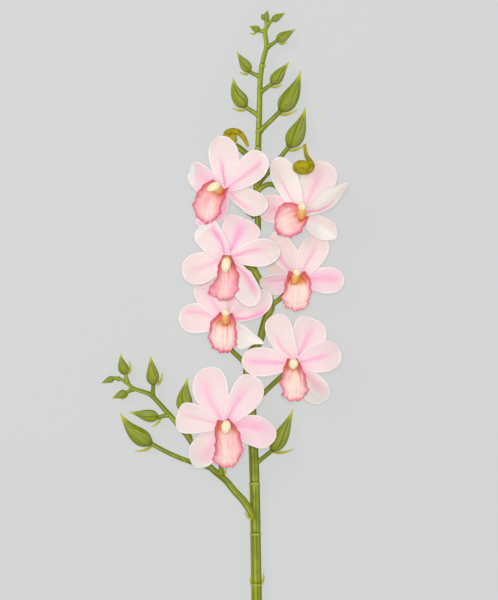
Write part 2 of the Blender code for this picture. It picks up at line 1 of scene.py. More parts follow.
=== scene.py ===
# %% [markdown]
# # A cymbidium orchid spray, lying on its back
# The real thing is one green stem with closed buds towards its tip, a side branch, and open
# blooms. Each bloom has five pale pink tepals, a deeper pink lip with a frilled edge, and a
# short column under a cream cap. This lesson dresses the imported solids in finer pieces that
# follow the same lines. It starts by loading the solids.

import math
from collections import namedtuple

import bpy
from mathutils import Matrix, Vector


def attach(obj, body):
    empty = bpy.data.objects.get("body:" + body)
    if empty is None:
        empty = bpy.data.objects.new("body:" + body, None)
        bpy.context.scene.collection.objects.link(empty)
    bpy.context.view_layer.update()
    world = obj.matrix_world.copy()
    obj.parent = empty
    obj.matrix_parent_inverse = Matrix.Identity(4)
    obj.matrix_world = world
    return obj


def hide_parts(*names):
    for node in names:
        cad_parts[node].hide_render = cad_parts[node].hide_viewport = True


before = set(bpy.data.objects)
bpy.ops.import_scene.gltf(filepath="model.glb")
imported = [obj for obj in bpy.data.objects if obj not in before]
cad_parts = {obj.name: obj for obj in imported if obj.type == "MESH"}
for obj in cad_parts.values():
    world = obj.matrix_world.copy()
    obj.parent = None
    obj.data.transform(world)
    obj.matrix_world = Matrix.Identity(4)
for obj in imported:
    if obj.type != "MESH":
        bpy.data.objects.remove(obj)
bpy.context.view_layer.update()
MM = 0.001
UP = Vector((0, 0, 1))

# %% [markdown]
# ## The studio
# The photograph shows the spray from straight in front against a plain pale grey, with hardly
# a shadow. The part lies on its back, so the camera hangs high above it and looks straight
# down. A long lens keeps the far and near blooms the same size. A key lamp close to the camera
# hides each shadow under what casts it, a broad panel at the upper left gives the petals their
# soft shading, and the table glows a little, as a light table does, so it stays one even grey.

# %% The floor, the lights and the camera
CAMERA_HEIGHT = 2.03
CAMERA_OVER = (0.0204, 0.0445)
TABLE_GREY = (0.20, 0.205, 0.204, 1)
TABLE_GLOW = (0.452, 0.460, 0.456, 1)
SKY_COLOUR = (0.98, 0.99, 1, 1)
SKY_STRENGTH = 0.42
FLOOR_SIZE = 12
CAMERA_LENS = 150
SENSOR_WIDTH = 36

bpy.context.scene.view_settings.view_transform = "Standard"
world = bpy.data.worlds.new("studio")
world.use_nodes = True
world.node_tree.nodes["Background"].inputs["Color"].default_value = SKY_COLOUR
world.node_tree.nodes["Background"].inputs["Strength"].default_value = SKY_STRENGTH
bpy.context.scene.world = world

bpy.ops.object.select_all(action="DESELECT")
bpy.ops.mesh.primitive_plane_add(size=FLOOR_SIZE)
floor = bpy.context.object
floor.name = "floor"


def add_panel(name, place, size, energy):
    """A round soft lamp that faces the middle of the spray."""
    data = bpy.data.lights.new(name, "AREA")
    data.shape, data.size, data.energy = "DISK", size, energy
    lamp = bpy.data.objects.new(name, data)
    bpy.context.scene.collection.objects.link(lamp)
    lamp.location = place
    lamp.rotation_mode = "QUATERNION"
    lamp.rotation_quaternion = (Vector(place) - Vector((*CAMERA_OVER, 0))).to_track_quat("Z", "Y")


add_panel("key_lamp", (0.0, 0.12, 2.4), 0.35, 31.5)
add_panel("side_panel", (-1.2, 0.9, 1.7), 1.2, 9)

camera_data = bpy.data.cameras.new("camera")
camera_data.lens = CAMERA_LENS
camera_data.sensor_width = SENSOR_WIDTH
camera = bpy.data.objects.new("camera", camera_data)
bpy.context.scene.collection.objects.link(camera)
camera.location = (*CAMERA_OVER, CAMERA_HEIGHT)
bpy.context.scene.camera = camera
print("camera looks down from", CAMERA_HEIGHT, "m")

# %% [markdown]
# ## Shader sums in plain Python
# A surface colour is mostly sums and products of masks. Writing those as node links is hard
# to read, so a wire stands for one node output, and an expression such as `1 - rim * 0.5`
# adds the Math nodes by itself. A finish is one material, with one method for any other node.

# %% Wires and finishes
# The Mix node's sockets for colours: its share, its low and high colour, and its result
MIX_SHARE, MIX_LOW, MIX_HIGH, MIX_RESULT = 0, 6, 7, 2


def plug(socket, term):
    """Feeds a socket with a wire, or sets it to a plain value."""
    if isinstance(term, Wire):
        socket.id_data.links.new(term.socket, socket)
    else:
        socket.default_value = term


class Wire:
    """One output of a shader node, for use in sums."""

    def __init__(self, socket):
        self.socket = socket

    def math(self, operation, first, second):
        node = self.socket.id_data.nodes.new("ShaderNodeMath")
        node.operation = operation
        plug(node.inputs[0], first)
        plug(node.inputs[1], second)
        return Wire(node.outputs[0])

    def __add__(self, other):
        return self.math("ADD", self, other)

    def __sub__(self, other):
        return self.math("SUBTRACT", self, other)

    def __rsub__(self, other):
        return self.math("SUBTRACT", other, self)

    def __mul__(self, other):
        return self.math("MULTIPLY", self, other)

    def __truediv__(self, other):
        return self.math("DIVIDE", self, other)

    def __abs__(self):
        return self.math("ABSOLUTE", self, 0.0)

    __radd__ = __add__
    __rmul__ = __mul__


class Finish:
    """One material, built node by node."""

    def __init__(self, name, **fixed):
        self.material = bpy.data.materials.new(name)
        self.material.use_nodes = True
        self.tree = self.material.node_tree
        self.shader = self.tree.nodes["Principled BSDF"]
        for key, value in fixed.items():
            plug(self.shader.inputs[key.replace("_", " ")], value)

    def node(self, kind, settings=None, output=0, **sockets):
        """Any node: its settings are set first, then the values or wires of its sockets."""
        made = self.tree.nodes.new("ShaderNode" + kind)
        for key, value in (settings or {}).items():
            setattr(made, key, value)
        for key, term in sockets.items():
            plug(made.inputs[key.replace("_", " ")], term)
        return Wire(made.outputs[output])

    def blend(self, share, low, high):
        """The colour low where share is 0, and high where it is 1."""
        made = self.tree.nodes.new("ShaderNodeMix")
        made.data_type = "RGBA"
        plug(made.inputs[MIX_SHARE], share)
        plug(made.inputs[MIX_LOW], low)
        plug(made.inputs[MIX_HIGH], high)
        return Wire(made.outputs[MIX_RESULT])

    def mark(self, name):
        """A number that the mesh keeps at each of its points."""
        return self.node("Attribute", {"attribute_name": name}, output="Fac")

    def smooth(self, value, low, high):
        """0 where value is under low, 1 over high, and a soft rise between."""
        return self.node(
            "MapRange", {"interpolation_type": "SMOOTHSTEP"},
            Value=value, From_Min=low, From_Max=high,
        )

    def cloud(self, place, scale, detail=2.0):
        """Soft noise about 0.5."""
        return self.node("TexNoise", output="Fac", Vector=place, Scale=scale, Detail=detail)

    def dents(self, height, strength, depth):
        """Fine relief, as a change of the normal only."""
        normal = self.node(
            "Bump", output="Normal", Height=height, Strength=strength, Distance=depth
        )
        plug(self.shader.inputs["Normal"], normal)

    def colour(self, wire):
        plug(self.shader.inputs["Base Color"], wire)

    def roughness(self, wire):
        plug(self.shader.inputs["Roughness"], wire)


floor_finish = Finish(
    "table", Base_Color=TABLE_GREY, Roughness=0.9, Specular_IOR_Level=0.1,
    Emission_Color=TABLE_GLOW, Emission_Strength=1.0,
)
floor.data.materials.append(floor_finish.material)
print("finish made:", floor_finish.material.name)

# %% [markdown]
# ## Sheets and round bodies
# A petal is a thin sheet and a stem is a round body. Both start here as a primitive grid: a
# sheet's points move to a surface given by how far across and along they are, and a round
# body's grid is rolled up round a line, sewn along its seam and closed at its ends. That gives
# rows that follow the growth of the plant, and a UV map for free, which a sculpted lump
# wouldn't have.

# %% Helpers for sheets and round bodies
def smooth_step(x):
    """0 below 0, 1 above 1, and a soft rise between."""
    x = min(max(x, 0.0), 1.0)
    return x * x * (3 - 2 * x)


def bell(x):
    """1 at 0, and soon nothing on either side."""
    return math.exp(-x * x)


def plan_direction(turn):
    """The level unit vector at this many degrees from +X."""
    return Vector((math.cos(math.radians(turn)), math.sin(math.radians(turn)), 0))


def smooth_curve(points, per_span):
    """A soft curve through all the points, with per_span steps between each two."""
    p = [Vector(q) for q in points]
    p = [2 * p[0] - p[1], *p, 2 * p[-1] - p[-2]]
    curve = []
    for a, b, c, d in zip(p, p[1:], p[2:], p[3:]):
        for k in range(per_span):
            t = k / per_span
            curve.append(
                0.5 * (2 * b + (c - a) * t + (2 * a - 5 * b + 4 * c - d) * t * t
                       + (3 * b - a - 3 * c + d) * t**3)
            )
    return curve + [p[-2]]


def at_share(values, t):
    """The value at share t along a row of evenly spaced values, softly joined."""
    place = min(max(t, 0.0), 1.0) * (len(values) - 1)
    k = min(int(place), len(values) - 2)
    before, after = values[max(k - 1, 0)], values[min(k + 2, len(values) - 1)]
    low, high, x = values[k], values[k + 1], place - k
    return 0.5 * (
        2 * low + (high - before) * x + (2 * before - 5 * low + 4 * high - after) * x * x
        + (3 * low - before - 3 * high + after) * x**3
    )


def new_grid(name, columns, rows):
    """A flat primitive grid from -1 to 1 both ways, alone in the selection."""
    bpy.ops.object.select_all(action="DESELECT")
    bpy.ops.mesh.primitive_grid_add(x_subdivisions=columns, y_subdivisions=rows, size=2)
    grid = bpy.context.object
    grid.name = name
    return grid


def shape_grid(grid, place):
    """Moves each point of a grid to place(across, along), which also gives its marks."""
    marks = {}
    for vertex in grid.data.vertices:
        point, facts = place(-vertex.co.x, (vertex.co.y + 1) / 2)
        vertex.co = point * MM
        for key, value in facts.items():
            marks.setdefault(key, []).append(value)
    for key, values in marks.items():
        grid.data.attributes.new(key, "FLOAT", "POINT").data.foreach_set("value", values)


def sew(close=False):
    """Merges the active piece's points that lie on each other, and can close its ends."""
    bpy.ops.object.mode_set(mode="EDIT")
    bpy.ops.mesh.select_all(action="SELECT")
    bpy.ops.mesh.remove_doubles(threshold=0.00001)
    if close:
        bpy.ops.mesh.select_all(action="DESELECT")
        bpy.ops.mesh.select_non_manifold()
        bpy.ops.mesh.fill_holes(sides=0)
        bpy.ops.mesh.select_all(action="SELECT")
        bpy.ops.mesh.normals_make_consistent(inside=False)
    bpy.ops.object.mode_set(mode="OBJECT")


def thicken(piece, thickness, materials):
    """Gives a sheet its thickness. The first material is its front, the second its back."""
    for material in materials:
        piece.data.materials.append(material)
    solidify = piece.modifiers.new("thickness", "SOLIDIFY")
    solidify.thickness = thickness * MM
    solidify.offset = 0
    solidify.material_offset = len(materials) - 1
    bpy.ops.object.modifier_apply(modifier="thickness")
    piece.data.shade_smooth()
    return piece


def round_body(name, stations, radii, sides, material, profile=None, marks=None):
    """A round body round a line of stations, with its radius changed by profile(along, angle)."""
    last = len(stations) - 1
    frames, across = [], None
    for k in range(last + 1):
        ahead = (stations[min(k + 1, last)] - stations[max(k - 1, 0)]).normalized()
        if across is None:
            across = ahead.cross(UP if abs(ahead.z) < 0.9 else Vector((0, 1, 0)))
        across = (across - ahead * across.dot(ahead)).normalized()
        frames.append((across, across.cross(ahead)))
    body = new_grid(name, sides, last)

    def place(s, t):
        k, angle = round(t * last), math.pi * (s + 1)
        side, above = frames[k]
        out = side * math.cos(angle) + above * math.sin(angle)
        radius = radii[k] * (profile(t, angle) if profile else 1)
        return stations[k] + out * radius, (marks(t, angle) if marks else {})

    shape_grid(body, place)
    sew(close=True)
    body.data.materials.append(material)
    body.data.shade_smooth()
    return body


def join_pieces(name, pieces):
    """One mesh from several, kept at the origin."""
    bpy.ops.object.select_all(action="DESELECT")
    for piece in pieces:
        piece.select_set(True)
    bpy.context.view_layer.objects.active = pieces[0]
    bpy.ops.object.join()
    whole = bpy.context.object
    whole.name = name
    return whole


def hand_over(piece, slot, *nodes):
    """The piece rides on the part and stands for these solids; its slot is not used."""
    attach(piece, "root")
    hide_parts(*nodes)
    print(piece.name, "has", len(piece.data.polygons), "faces")


# %% [markdown]
# ## Green finishes
# The stem is a glossy mid green with paler streaks that run along it, partly its own paler
# green and partly painted highlight. Buds show the seams of their sepals: dark lines from base
# to tip, with a painted grey-green sheen between them, and a yellow tip.
# Bracts are thin and more yellow. All of them read the UV map, whose second direction runs
# along the growth, so the streaks follow each bend.

# %% Stem, bud and bract finishes
STEM_DARK = (0.140, 0.165, 0.004, 1)
STEM_MID = (0.230, 0.275, 0.006, 1)
# Paler green of the stem's streaks, partly painted highlight
STEM_PALE_AND_HIGHLIGHT = (0.370, 0.425, 0.035, 1)
BUD_DARK = (0.090, 0.125, 0.005, 1)
BUD_MID = (0.250, 0.300, 0.006, 1)
# Grey-green painted sheen between a bud's seams
BUD_PAINTED_SHEEN = (0.310, 0.345, 0.075, 1)
BUD_LIP = (0.400, 0.440, 0.015, 1)
TIP_YELLOW = (0.580, 0.540, 0.010, 1)
BRACT_YELLOW = (0.470, 0.450, 0.006, 1)
CUT_CREAM = (0.560, 0.560, 0.280, 1)


def stem_finish():
    f = Finish("stem_skin", Roughness=0.5, Specular_IOR_Level=0.3)
    uv = f.node("UVMap", output="UV")
    place = f.node("TexCoord", output="Object")
    streaks = f.cloud(f.node("Mapping", Vector=uv, Scale=(14.0, 1.6, 1.0)), 1.0, 3.0)
    patches = f.cloud(place, 55.0, 2.0)
    bands = f.cloud(f.node("Mapping", Vector=uv, Scale=(5.0, 0.5, 1.0)), 1.0, 2.0)
    body = f.blend(f.smooth(streaks, 0.42, 0.58), STEM_DARK, STEM_MID)
    # Paler streaks along the stem: partly its own colour, partly painted highlight
    body = f.blend(f.smooth(bands + (patches - 0.5) * 0.3, 0.48, 0.60) * 0.9, body, STEM_PALE_AND_HIGHLIGHT)
    ring = f.mark("ring")
    body = f.blend(f.smooth(ring, 0.25, 0.9) * 0.85, body, STEM_PALE_AND_HIGHLIGHT)
    body = f.blend(f.smooth(ring * -1.0, 0.15, 0.6) * 0.85, body, BUD_DARK)
    f.colour(f.blend(f.mark("cut"), body, CUT_CREAM))
    f.roughness(0.42 + 0.16 * patches)
    f.dents(streaks, 0.25, 0.0004)
    return f.material


def bud_finish():
    f = Finish("bud_skin", Roughness=0.55, Specular_IOR_Level=0.25)
    uv = f.node("UVMap", output="UV")
    place = f.node("TexCoord", output="Object")
    along, seam = f.mark("along"), f.mark("seam")
    veins = f.cloud(f.node("Mapping", Vector=uv, Scale=(34.0, 0.9, 1.0)), 1.0, 2.0)
    bands = f.cloud(f.node("Mapping", Vector=uv, Scale=(10.0, 0.8, 1.0)), 1.0, 1.0)
    spots = f.cloud(place, 160.0, 2.0)
    # Grey-green bands between the seams: painted sheen
    body = f.blend(f.smooth(bands, 0.48, 0.58), BUD_MID, BUD_PAINTED_SHEEN)
    body = f.blend(f.smooth(veins, 0.50, 0.66) * 0.70, body, BUD_DARK)
    # Small spots of the same painted sheen
    body = f.blend(f.smooth(spots, 0.55, 0.75) * 0.25, body, BUD_PAINTED_SHEEN)
    body = f.blend(f.mark("lip") * 0.85, body, BUD_LIP)
    body = f.blend(seam * 0.85, body, BUD_DARK)
    body = f.blend((1 - f.smooth(along, 0.0, 0.10)) * 0.7, body, BUD_DARK)
    f.colour(f.blend(f.smooth(along, 0.70, 0.95), body, TIP_YELLOW))
    f.dents(veins - seam, 0.3, 0.0005)
    return f.material


def bract_finish():
    f = Finish("bract_skin", Roughness=0.5, Specular_IOR_Level=0.35)
    uv = f.node("UVMap", output="UV")
    lines = f.cloud(f.node("Mapping", Vector=uv, Scale=(9.0, 0.8, 1.0)), 1.0, 2.0)
    body = f.blend(f.smooth(lines, 0.4, 0.7), BRACT_YELLOW, STEM_MID)
    f.colour(f.blend(f.smooth(f.mark("along"), 0.30, 0.8), body, TIP_YELLOW))
    f.dents(lines, 0.2, 0.0003)
    return f.material


stem_skin, bud_skin, bract_skin = stem_finish(), bud_finish(), bract_finish()
print("green finishes made")

# %% [markdown]
# ## The stem and its side branch
# The stem zigzags a little where each bloom leaves it, and carries rings where old bracts
# fell. Its line keeps to the solid's within about half a millimetre. More stations near each
# ring give it a crisp raised edge and a groove, and the foot of each stalk flares where it
# leaves the stem.

# %% Lines and sizes of the green parts
# The stem's radius at six even places from its cut end to its tip
STEM_RADII = (4.25, 4.25, 3.8, 2.75, 2.45, 1.8)
# How far a ring stands out, its half height, and the groove above it: its depth as a share of
# the ring's, how far above the ring it lies, and its half height
RING_HEIGHT = 0.45
RING_HALF = 0.9
GROOVE_SHARE, GROOVE_ABOVE, GROOVE_HALF = 0.8, 1.7, 0.6
BUD_STALK_RADIUS = 1.8
# The main stem's middle line, from its cut end to its tip: it zigzags a little at each node
STEM_ROUTE = [
    (26.9, -278, 4.7), (26.9, -231, 5.0), (26.6, -198, 5.3), (26.1, -168, 5.7),
    (25.7, -145, 6.1), (25.2, -117, 6.5), (24.5, -93, 7.0), (23.5, -69, 7.5), (22.4, -44, 8.0),
    (20.0, -24, 8.5), (18.8, -10, 9.0), (21.2, 1, 9.5), (28.5, 10, 10.0), (31.3, 20, 10.5),
    (34.1, 30, 11.0), (38.4, 38, 11.5), (36.5, 48, 12.0), (30.9, 58, 12.0), (25.2, 68, 12.0),
    (22.4, 78, 12.0), (24.4, 89, 12.0), (27.3, 101, 12.0), (27.3, 113, 12.0), (26.1, 125, 11.5),
    (26.5, 137, 11.0), (27.3, 154, 10.5), (27.9, 168, 10.0), (28.3, 181, 9.7), (28.8, 194, 9.5),
    (29.2, 213, 9.2), (29.8, 226, 9.0), (32.1, 240, 8.8), (34.5, 249, 8.6), (33.7, 257, 8.6),
    (33.3, 262, 8.8), (34.9, 267, 9.0), (33.6, 272.5, 9.4),
]
# How far along +Y each ring of the stem lies, in mm
STEM_NODES = (-268, -227, -186, -145, -104, 154, 167, 181, 234)
# The side branch's middle line, from the stem to its tip
BRANCH_ROUTE = [
    (24.3, -131, 13.2), (20.4, -124, 13.6), (15.6, -117, 14.0), (8.2, -109, 14.0),
    (1.6, -101, 13.5), (-9.2, -92, 12.5), (-19.2, -81, 11.5), (-28.9, -66, 10.5),
    (-38.9, -54, 9.7), (-45.9, -46, 9.2), (-58.0, -33, 9.0), (-64.0, -30, 9.0),
    (-73.0, -27, 9.0), (-77.7, -23, 9.2), (-83.1, -19.6, 9.4), (-88.3, -18.6, 9.6),
]
BRANCH_ROOT_RADIUS = 3.2
BRANCH_TIP_RADIUS = 1.2
Bud = namedtuple("Bud", "foot base tip width bow")
# Each bud: where its stalk leaves the stem, where it sits on the stalk, its tip, how wide it is,
# and how far its middle bows to the left of a line to its tip, as a share of its length
STEM_BUDS = {
    "b1": Bud((34.9, 266.6, 9), (38.8, 270.5, 9.5), (50.3, 276.9, 10), 5.8, 0.0),
    "b2": Bud((33.3, 261.7, 8.8), (29.1, 262.1, 9), (20.2, 266.4, 9.5), 5.6, 0.0),
    "b3": Bud((34.4, 248.3, 8.6), (42.7, 253.8, 9), (58.4, 263.7, 10), 8.2, 0.0),
    "b4": Bud((29.5, 224.9, 9), (21.2, 228.8, 9), (10.2, 245.5, 9), 8.4, 0.0),
    "b5": Bud((29.3, 212.3, 9.2), (38.5, 219.0, 9.5), (53.0, 237.0, 10), 9.8, 0.0),
    "b6": Bud((28.9, 193.2, 9.5), (18.0, 200.4, 9.5), (7.5, 224.8, 9.5), 11.8, 0.10),
    "b7": Bud((28.5, 180.3, 9.7), (45.5, 197.0, 9.2), (62.1, 230.3, 8.6), 14.4, -0.07),
    "b8": Bud((26.5, 136.6, 11), (52.3, 168.2, 7.0), (66.1, 200.4, 6.6), 14.4, -0.06),
    "b9": Bud((24.4, -89.0, 7), (38.6, -77.5, 9), (56.0, -43.5, 11), 12.6, -0.04),
}
BRANCH_BUDS = {
    "s1": Bud((-84.0, -19.4, 9.5), (-88.3, -18.5, 9.6), (-99.7, -22.8, 9), 5.2, 0.0),
    "s2": Bud((-78.0, -22.7, 9.2), (-79.2, -15.7, 9.2), (-83.4, 1.4, 9.4), 8.4, 0.05),
    "s3": Bud((-73.0, -27.2, 9), (-78.1, -30.1, 9), (-91.0, -35.2, 9), 6.8, 0.0),
    "s4": Bud((-57.7, -33.1, 9), (-56.9, -24.4, 9), (-59.2, -0.3, 9), 10.2, 0.0),
    "s5": Bud((-11.9, -90.0, 12), (-58.3, -71.9, 6.8), (-84.2, -46.4, 6.8), 13.6, 0.09),
    "s6": Bud((-44.6, -48.0, 9.2), (-52.6, -50.3, 9), (-77.0, -46.1, 8.6), 9.8, 0.0),
    "s7": Bud((-28.0, -67.0, 10.4), (-31.4, -46.8, 9), (-29.3, -18.5, 8.6), 12.8, 0.04),
}
# The long stalk of one side bud bends on its way, and so passes below the lowest bloom
BUD_STALK_BENDS = {"s5": [(-28, -86, 9), (-44, -79.5, 7.2)], "b8": [(38, 150, 8.2)]}
# Each small bract: its root, under a bud or at a node, and its tip
STEM_BRACTS = [
    ((26.1, 260.3, 9), (21.2, 260.0, 9.5)), ((44.5, 252.0, 9), (51.3, 252.8, 10)),
    ((19.9, 227.2, 9), (13.0, 228.8, 10)), ((38.3, 216.8, 9), (47.8, 219.0, 11)),
    ((17.6, 198.0, 9), (6.8, 199.9, 11)), ((45.2, 194.4, 8.6), (59.8, 198.6, 11)),
    ((52.4, 165.4, 7), (67.2, 171.4, 11)), ((38.6, -78.0, 8.6), (56.6, -75.6, 12)),
    ((30.9, 232.0, 9.4), (34.0, 234.4, 11)), ((24.4, 112.0, 12.6), (16.4, 116.0, 15)),
    ((24.0, -41.0, 9.0), (29.8, -36.6, 12)), ((17.9, -8.5, 9.4), (13.4, -5.6, 12)),
    ((30.6, -185.4, 6.0), (31.9, -176.4, 7)), ((22.9, -186.0, 6.0), (21.9, -179.6, 7)),
]
BRANCH_BRACTS = [
    ((-77.0, -15.3, 9), (-76.4, -4.6, 11)), ((-77.5, -31.2, 8.8), (-83.0, -35.9, 10)),
    ((-53.8, -24.4, 9), (-49.5, -14.2, 11)), ((-58.0, -73.9, 6.6), (-72.2, -77.5, 9)),
    ((-50.8, -51.2, 8.8), (-58.0, -57.8, 11)), ((23.0, -132.5, 15.8), (17.0, -126.0, 18)),
    ((-1.0, -98.0, 14.4), (1.6, -90.4, 18)), ((-28.0, -87.0, 9.6), (-33.6, -83.0, 12)),
]
# The stalk of the left curled bud
CURL_STALK = [(26.6, 156, 11), (21, 160, 12.5), (14.0, 166.0, 14.2), (9.6, 169.0, 16)]
print("buds:", len(STEM_BUDS) + len(BRANCH_BUDS))

# %% Build stems, stalks, buds and bracts
# How full a bud is at even steps from its base to its drawn-out tip
BUD_FULLNESS = (0.30, 0.76, 0.97, 1.0, 0.93, 0.80, 0.63, 0.45, 0.28, 0.14, 0.03)
BUD_ROWS = 30


def along_line(route, per_span, rings):
    """Stations along a soft line, with seven more about the height of each ring."""
    line = smooth_curve(route, per_span)
    heights = sorted(y + dy for y in rings for dy in (-1.4, -0.6, 0, 0.6, 1.2, 1.7, 2.4))
    stations = []
    for a, b in zip(line, line[1:]):
        stations.append(a)
        for y in heights:
            if a.y < y <= b.y:
                stations.append(a.lerp(b, (y - a.y) / (b.y - a.y)))
    stations.append(line[-1])
    return [p for k, p in enumerate(stations) if k == 0 or (p - stations[k - 1]).length > 0.2]


def stem_tube():
    stations = along_line(STEM_ROUTE, 4, STEM_NODES)
    low, high = STEM_ROUTE[0][1], STEM_ROUTE[-1][1]
    radii, rings = [], []
    for point in stations:
        share = (point.y - low) / (high - low)
        near = min((point.y - y for y in STEM_NODES), key=abs)
        ring = bell(near / RING_HALF) - GROOVE_SHARE * bell((near - GROOVE_ABOVE) / GROOVE_HALF)
        rings.append(ring)
        radii.append(at_share(STEM_RADII, share) + RING_HEIGHT * ring)
    radii[0] -= 0.5
    last = len(stations) - 1

    def marks(t, angle):
        k = round(t * last)
        return {"ring": rings[k], "cut": 1.0 if k == 0 else 0.0}

    def profile(t, angle):
        return 1 + 0.03 * math.cos(3 * angle + 20 * t) + 0.015 * math.cos(7 * angle)

    return round_body("stem_tube", stations, radii, 28, stem_skin, profile, marks)


def stalk(points, start_radius, end_radius, per_span=6, flare=0.5):
    """A round stalk with a flared foot."""
    line = smooth_curve(points, per_span)
    run, lengths = 0.0, [0.0]
    for a, b in zip(line, line[1:]):
        run += (b - a).length
        lengths.append(run)
    radii = []
    for length in lengths:
        radius = start_radius + (end_radius - start_radius) * length / run
        radii.append(radius * (1 + flare * bell(length / 2.6)))
    return round_body("stalk", line, radii, 16, stem_skin)


def bud(shape):
    """A closed bud. Three sepals wrap it, and each seam turns a little on its way to the tip."""
    base, tip = Vector(shape.base), Vector(shape.tip)
    along = tip - base
    sideways = UP.cross(along) * shape.bow
    line, radii = [], []
    for k in range(BUD_ROWS + 1):
        t = k / BUD_ROWS
        line.append(base + along * t + sideways * math.sin(math.pi * t))
        radii.append(shape.width / 2 * at_share(BUD_FULLNESS, t))
    first_seam = 0.2 * shape.base[0]

    def seam_at(t, angle):
        """How far an angle is from the nearest seam, from -1 to 1."""
        twisted = 3 * (angle - first_seam - 1.1 * (t - 0.5))
        return math.atan2(math.sin(twisted), math.cos(twisted)) / math.pi

    def profile(t, angle):
        off = seam_at(t, angle)
        depth = 0.10 * bell(off / 0.08) - 0.06 * bell((off - 0.18) / 0.12)
        return 1 - 0.05 * math.cos(math.pi * off) - depth * smooth_step(t * 6)

    def marks(t, angle):
        off = seam_at(t, angle)
        return {"along": t, "seam": bell(off / 0.10), "lip": bell((off - 0.2) / 0.09)}

    return round_body("bud", line, radii, 60, bud_skin, profile, marks)


def bract(root, tip):
    """A thin narrow scale with a drawn-out point, hollow along its middle."""
    root, tip = Vector(root), Vector(tip)
    span = tip - root
    ahead = Vector((span.x, span.y, 0)).normalized()
    side = UP.cross(ahead)
    width = 1.6 + 0.07 * span.length
    bow = 0.10 * span.length * (1 if span.x > 0 else -1)
    scale = new_grid("bract", 8, 18)

    def place(s, t):
        half = width / 2 * (0.45 + 0.55 * smooth_step(t / 0.3)) * (1 - t) ** 0.7
        climb = span.z * (0.4 * t + 0.6 * t * t) - 0.5 * math.sin(math.pi * t)
        lift = 0.45 * half * s * s
        point = root + Vector((span.x * t, span.y * t, climb + lift))
        point -= side * (bow * math.sin(math.pi * t) - half * s)
        return point, {"along": t}

    shape_grid(scale, place)
    sew()
    return thicken(scale, 0.5, [bract_skin])


def buds_and_stalks(buds):
    made = []
    for name, shape in buds.items():
        base, tip = Vector(shape.base), Vector(shape.tip)
        inside = base + (tip - base).normalized() * shape.width * 0.2
        route = [shape.foot, *BUD_STALK_BENDS.get(name, []), shape.base, inside]
        radius = BUD_STALK_RADIUS * (0.55 + 0.45 * shape.width / 14)
        made += [stalk(route, radius * 1.1, radius, 6), bud(shape)]
    return made


stem_parts = [stem_tube(), *buds_and_stalks(STEM_BUDS)]
stem_parts += [bract(*line) for line in STEM_BRACTS]
stem_parts.append(stalk(CURL_STALK, 2.7, 2.4, 6, 0.2))
# Two tiny buds end the stem, with no stalk of their own
stem_parts.append(bud(Bud(None, (33.6, 270.0, 9.3), (35.4, 279.4, 9.8), 5.6, 0.0)))
stem_parts.append(bud(Bud(None, (33.4, 271.8, 9.2), (30.0, 276.0, 9.2), 4.8, 0.0)))
branch_line = smooth_curve(BRANCH_ROUTE, 5)
last_station = len(branch_line) - 1
branch_radii = []
for k in range(last_station + 1):
    radius = BRANCH_ROOT_RADIUS - (BRANCH_ROOT_RADIUS - BRANCH_TIP_RADIUS) * k / last_station
    branch_radii.append(radius)
branch_parts = [
    round_body("branch", branch_line, branch_radii, 22, stem_skin), *buds_and_stalks(BRANCH_BUDS),
]
branch_parts += [bract(*line) for line in BRANCH_BRACTS]
print("green pieces:", len(stem_parts) + len(branch_parts))

# %% [markdown]
# ## Petal finishes
# A tepal is ivory white where it is palest and rose where it is deepest. The mesh keeps, at
# each point, how far it is from the midrib and from the edge, how deep its blush is, where a
# value under 0 is painted light that whitens a tepal its tilt shades, and whether the petal
# folds over there. The finish turns those into the soft wash, a beige painted shade towards
# the tip, the pink streak along the midrib, fine veins and the white rim. Nodes do what is
# finer than the mesh.

# %% Front and back of a tepal
IVORY = (0.855, 0.725, 0.675, 1)
BLUSH = (0.940, 0.560, 0.700, 1)
ROSE = (0.930, 0.290, 0.520, 1)
# Beige painted shade that darkens a tepal towards its tip
TIP_PAINTED_SHADE = (0.775, 0.650, 0.595, 1)
RIM_WHITE = (0.970, 0.920, 0.880, 1)
FOLD_WHITE = (0.920, 0.870, 0.810, 1)


def tepal_finish(name, depth):
    """depth is 1 for the front of a tepal, and less for its paler back."""
    f = Finish(name, Roughness=0.55, Specular_IOR_Level=0.28, Subsurface_Weight=0.2,
               Subsurface_Scale=0.003, Subsurface_Radius=(1.0, 0.55, 0.45))
    from_midrib = f.mark("from_midrib")
    along = f.mark("along")
    veins_at = f.node("CombineXYZ", X=from_midrib * 0.75, Y=along * 1.6, Z=f.mark("own"))
    veins = f.cloud(veins_at, 1.0, 3.0)
    patches = f.cloud(f.node("TexCoord", output="Object"), 70.0, 2.0)
    wash = f.mark("blush") * (0.8 + 0.4 * patches) * depth
    # Towards the tip the body turns beige: painted shade
    body = f.blend(f.smooth(along + (patches - 0.5) * 0.5, 0.30, 0.95) * 0.85, IVORY, TIP_PAINTED_SHADE)
    # A blush under 0 paints the tepal whiter: painted light on tepals that their tilt shades
    body = f.blend(f.mark("blush") * -1.0, body, RIM_WHITE)
    body = f.blend(wash, body, BLUSH)
    body = f.blend(f.smooth(veins, 0.40, 0.80) * 0.12 * depth, body, BLUSH)
    line = (1 - f.smooth(abs(from_midrib - f.mark("streak_off")), 0.0, 0.7)) * 0.35
    streak = f.mark("streak") * (0.75 + 0.5 * veins) + line * f.mark("streak")
    body = f.blend(streak * depth * 0.8, body, ROSE)
    rim = 1 - f.smooth(f.mark("from_edge") + (patches - 0.5) * 1.4, 0.2, 1.5)
    body = f.blend(rim * 0.65, body, RIM_WHITE)
    f.colour(f.blend(f.mark("folded") * 0.85, body, FOLD_WHITE))
    f.dents(veins, 0.10, 0.0004)
    return f.material


tepal_front = tepal_finish("tepal_front", 1.0)
tepal_back = tepal_finish("tepal_back", 0.45)
print("tepal finishes made")
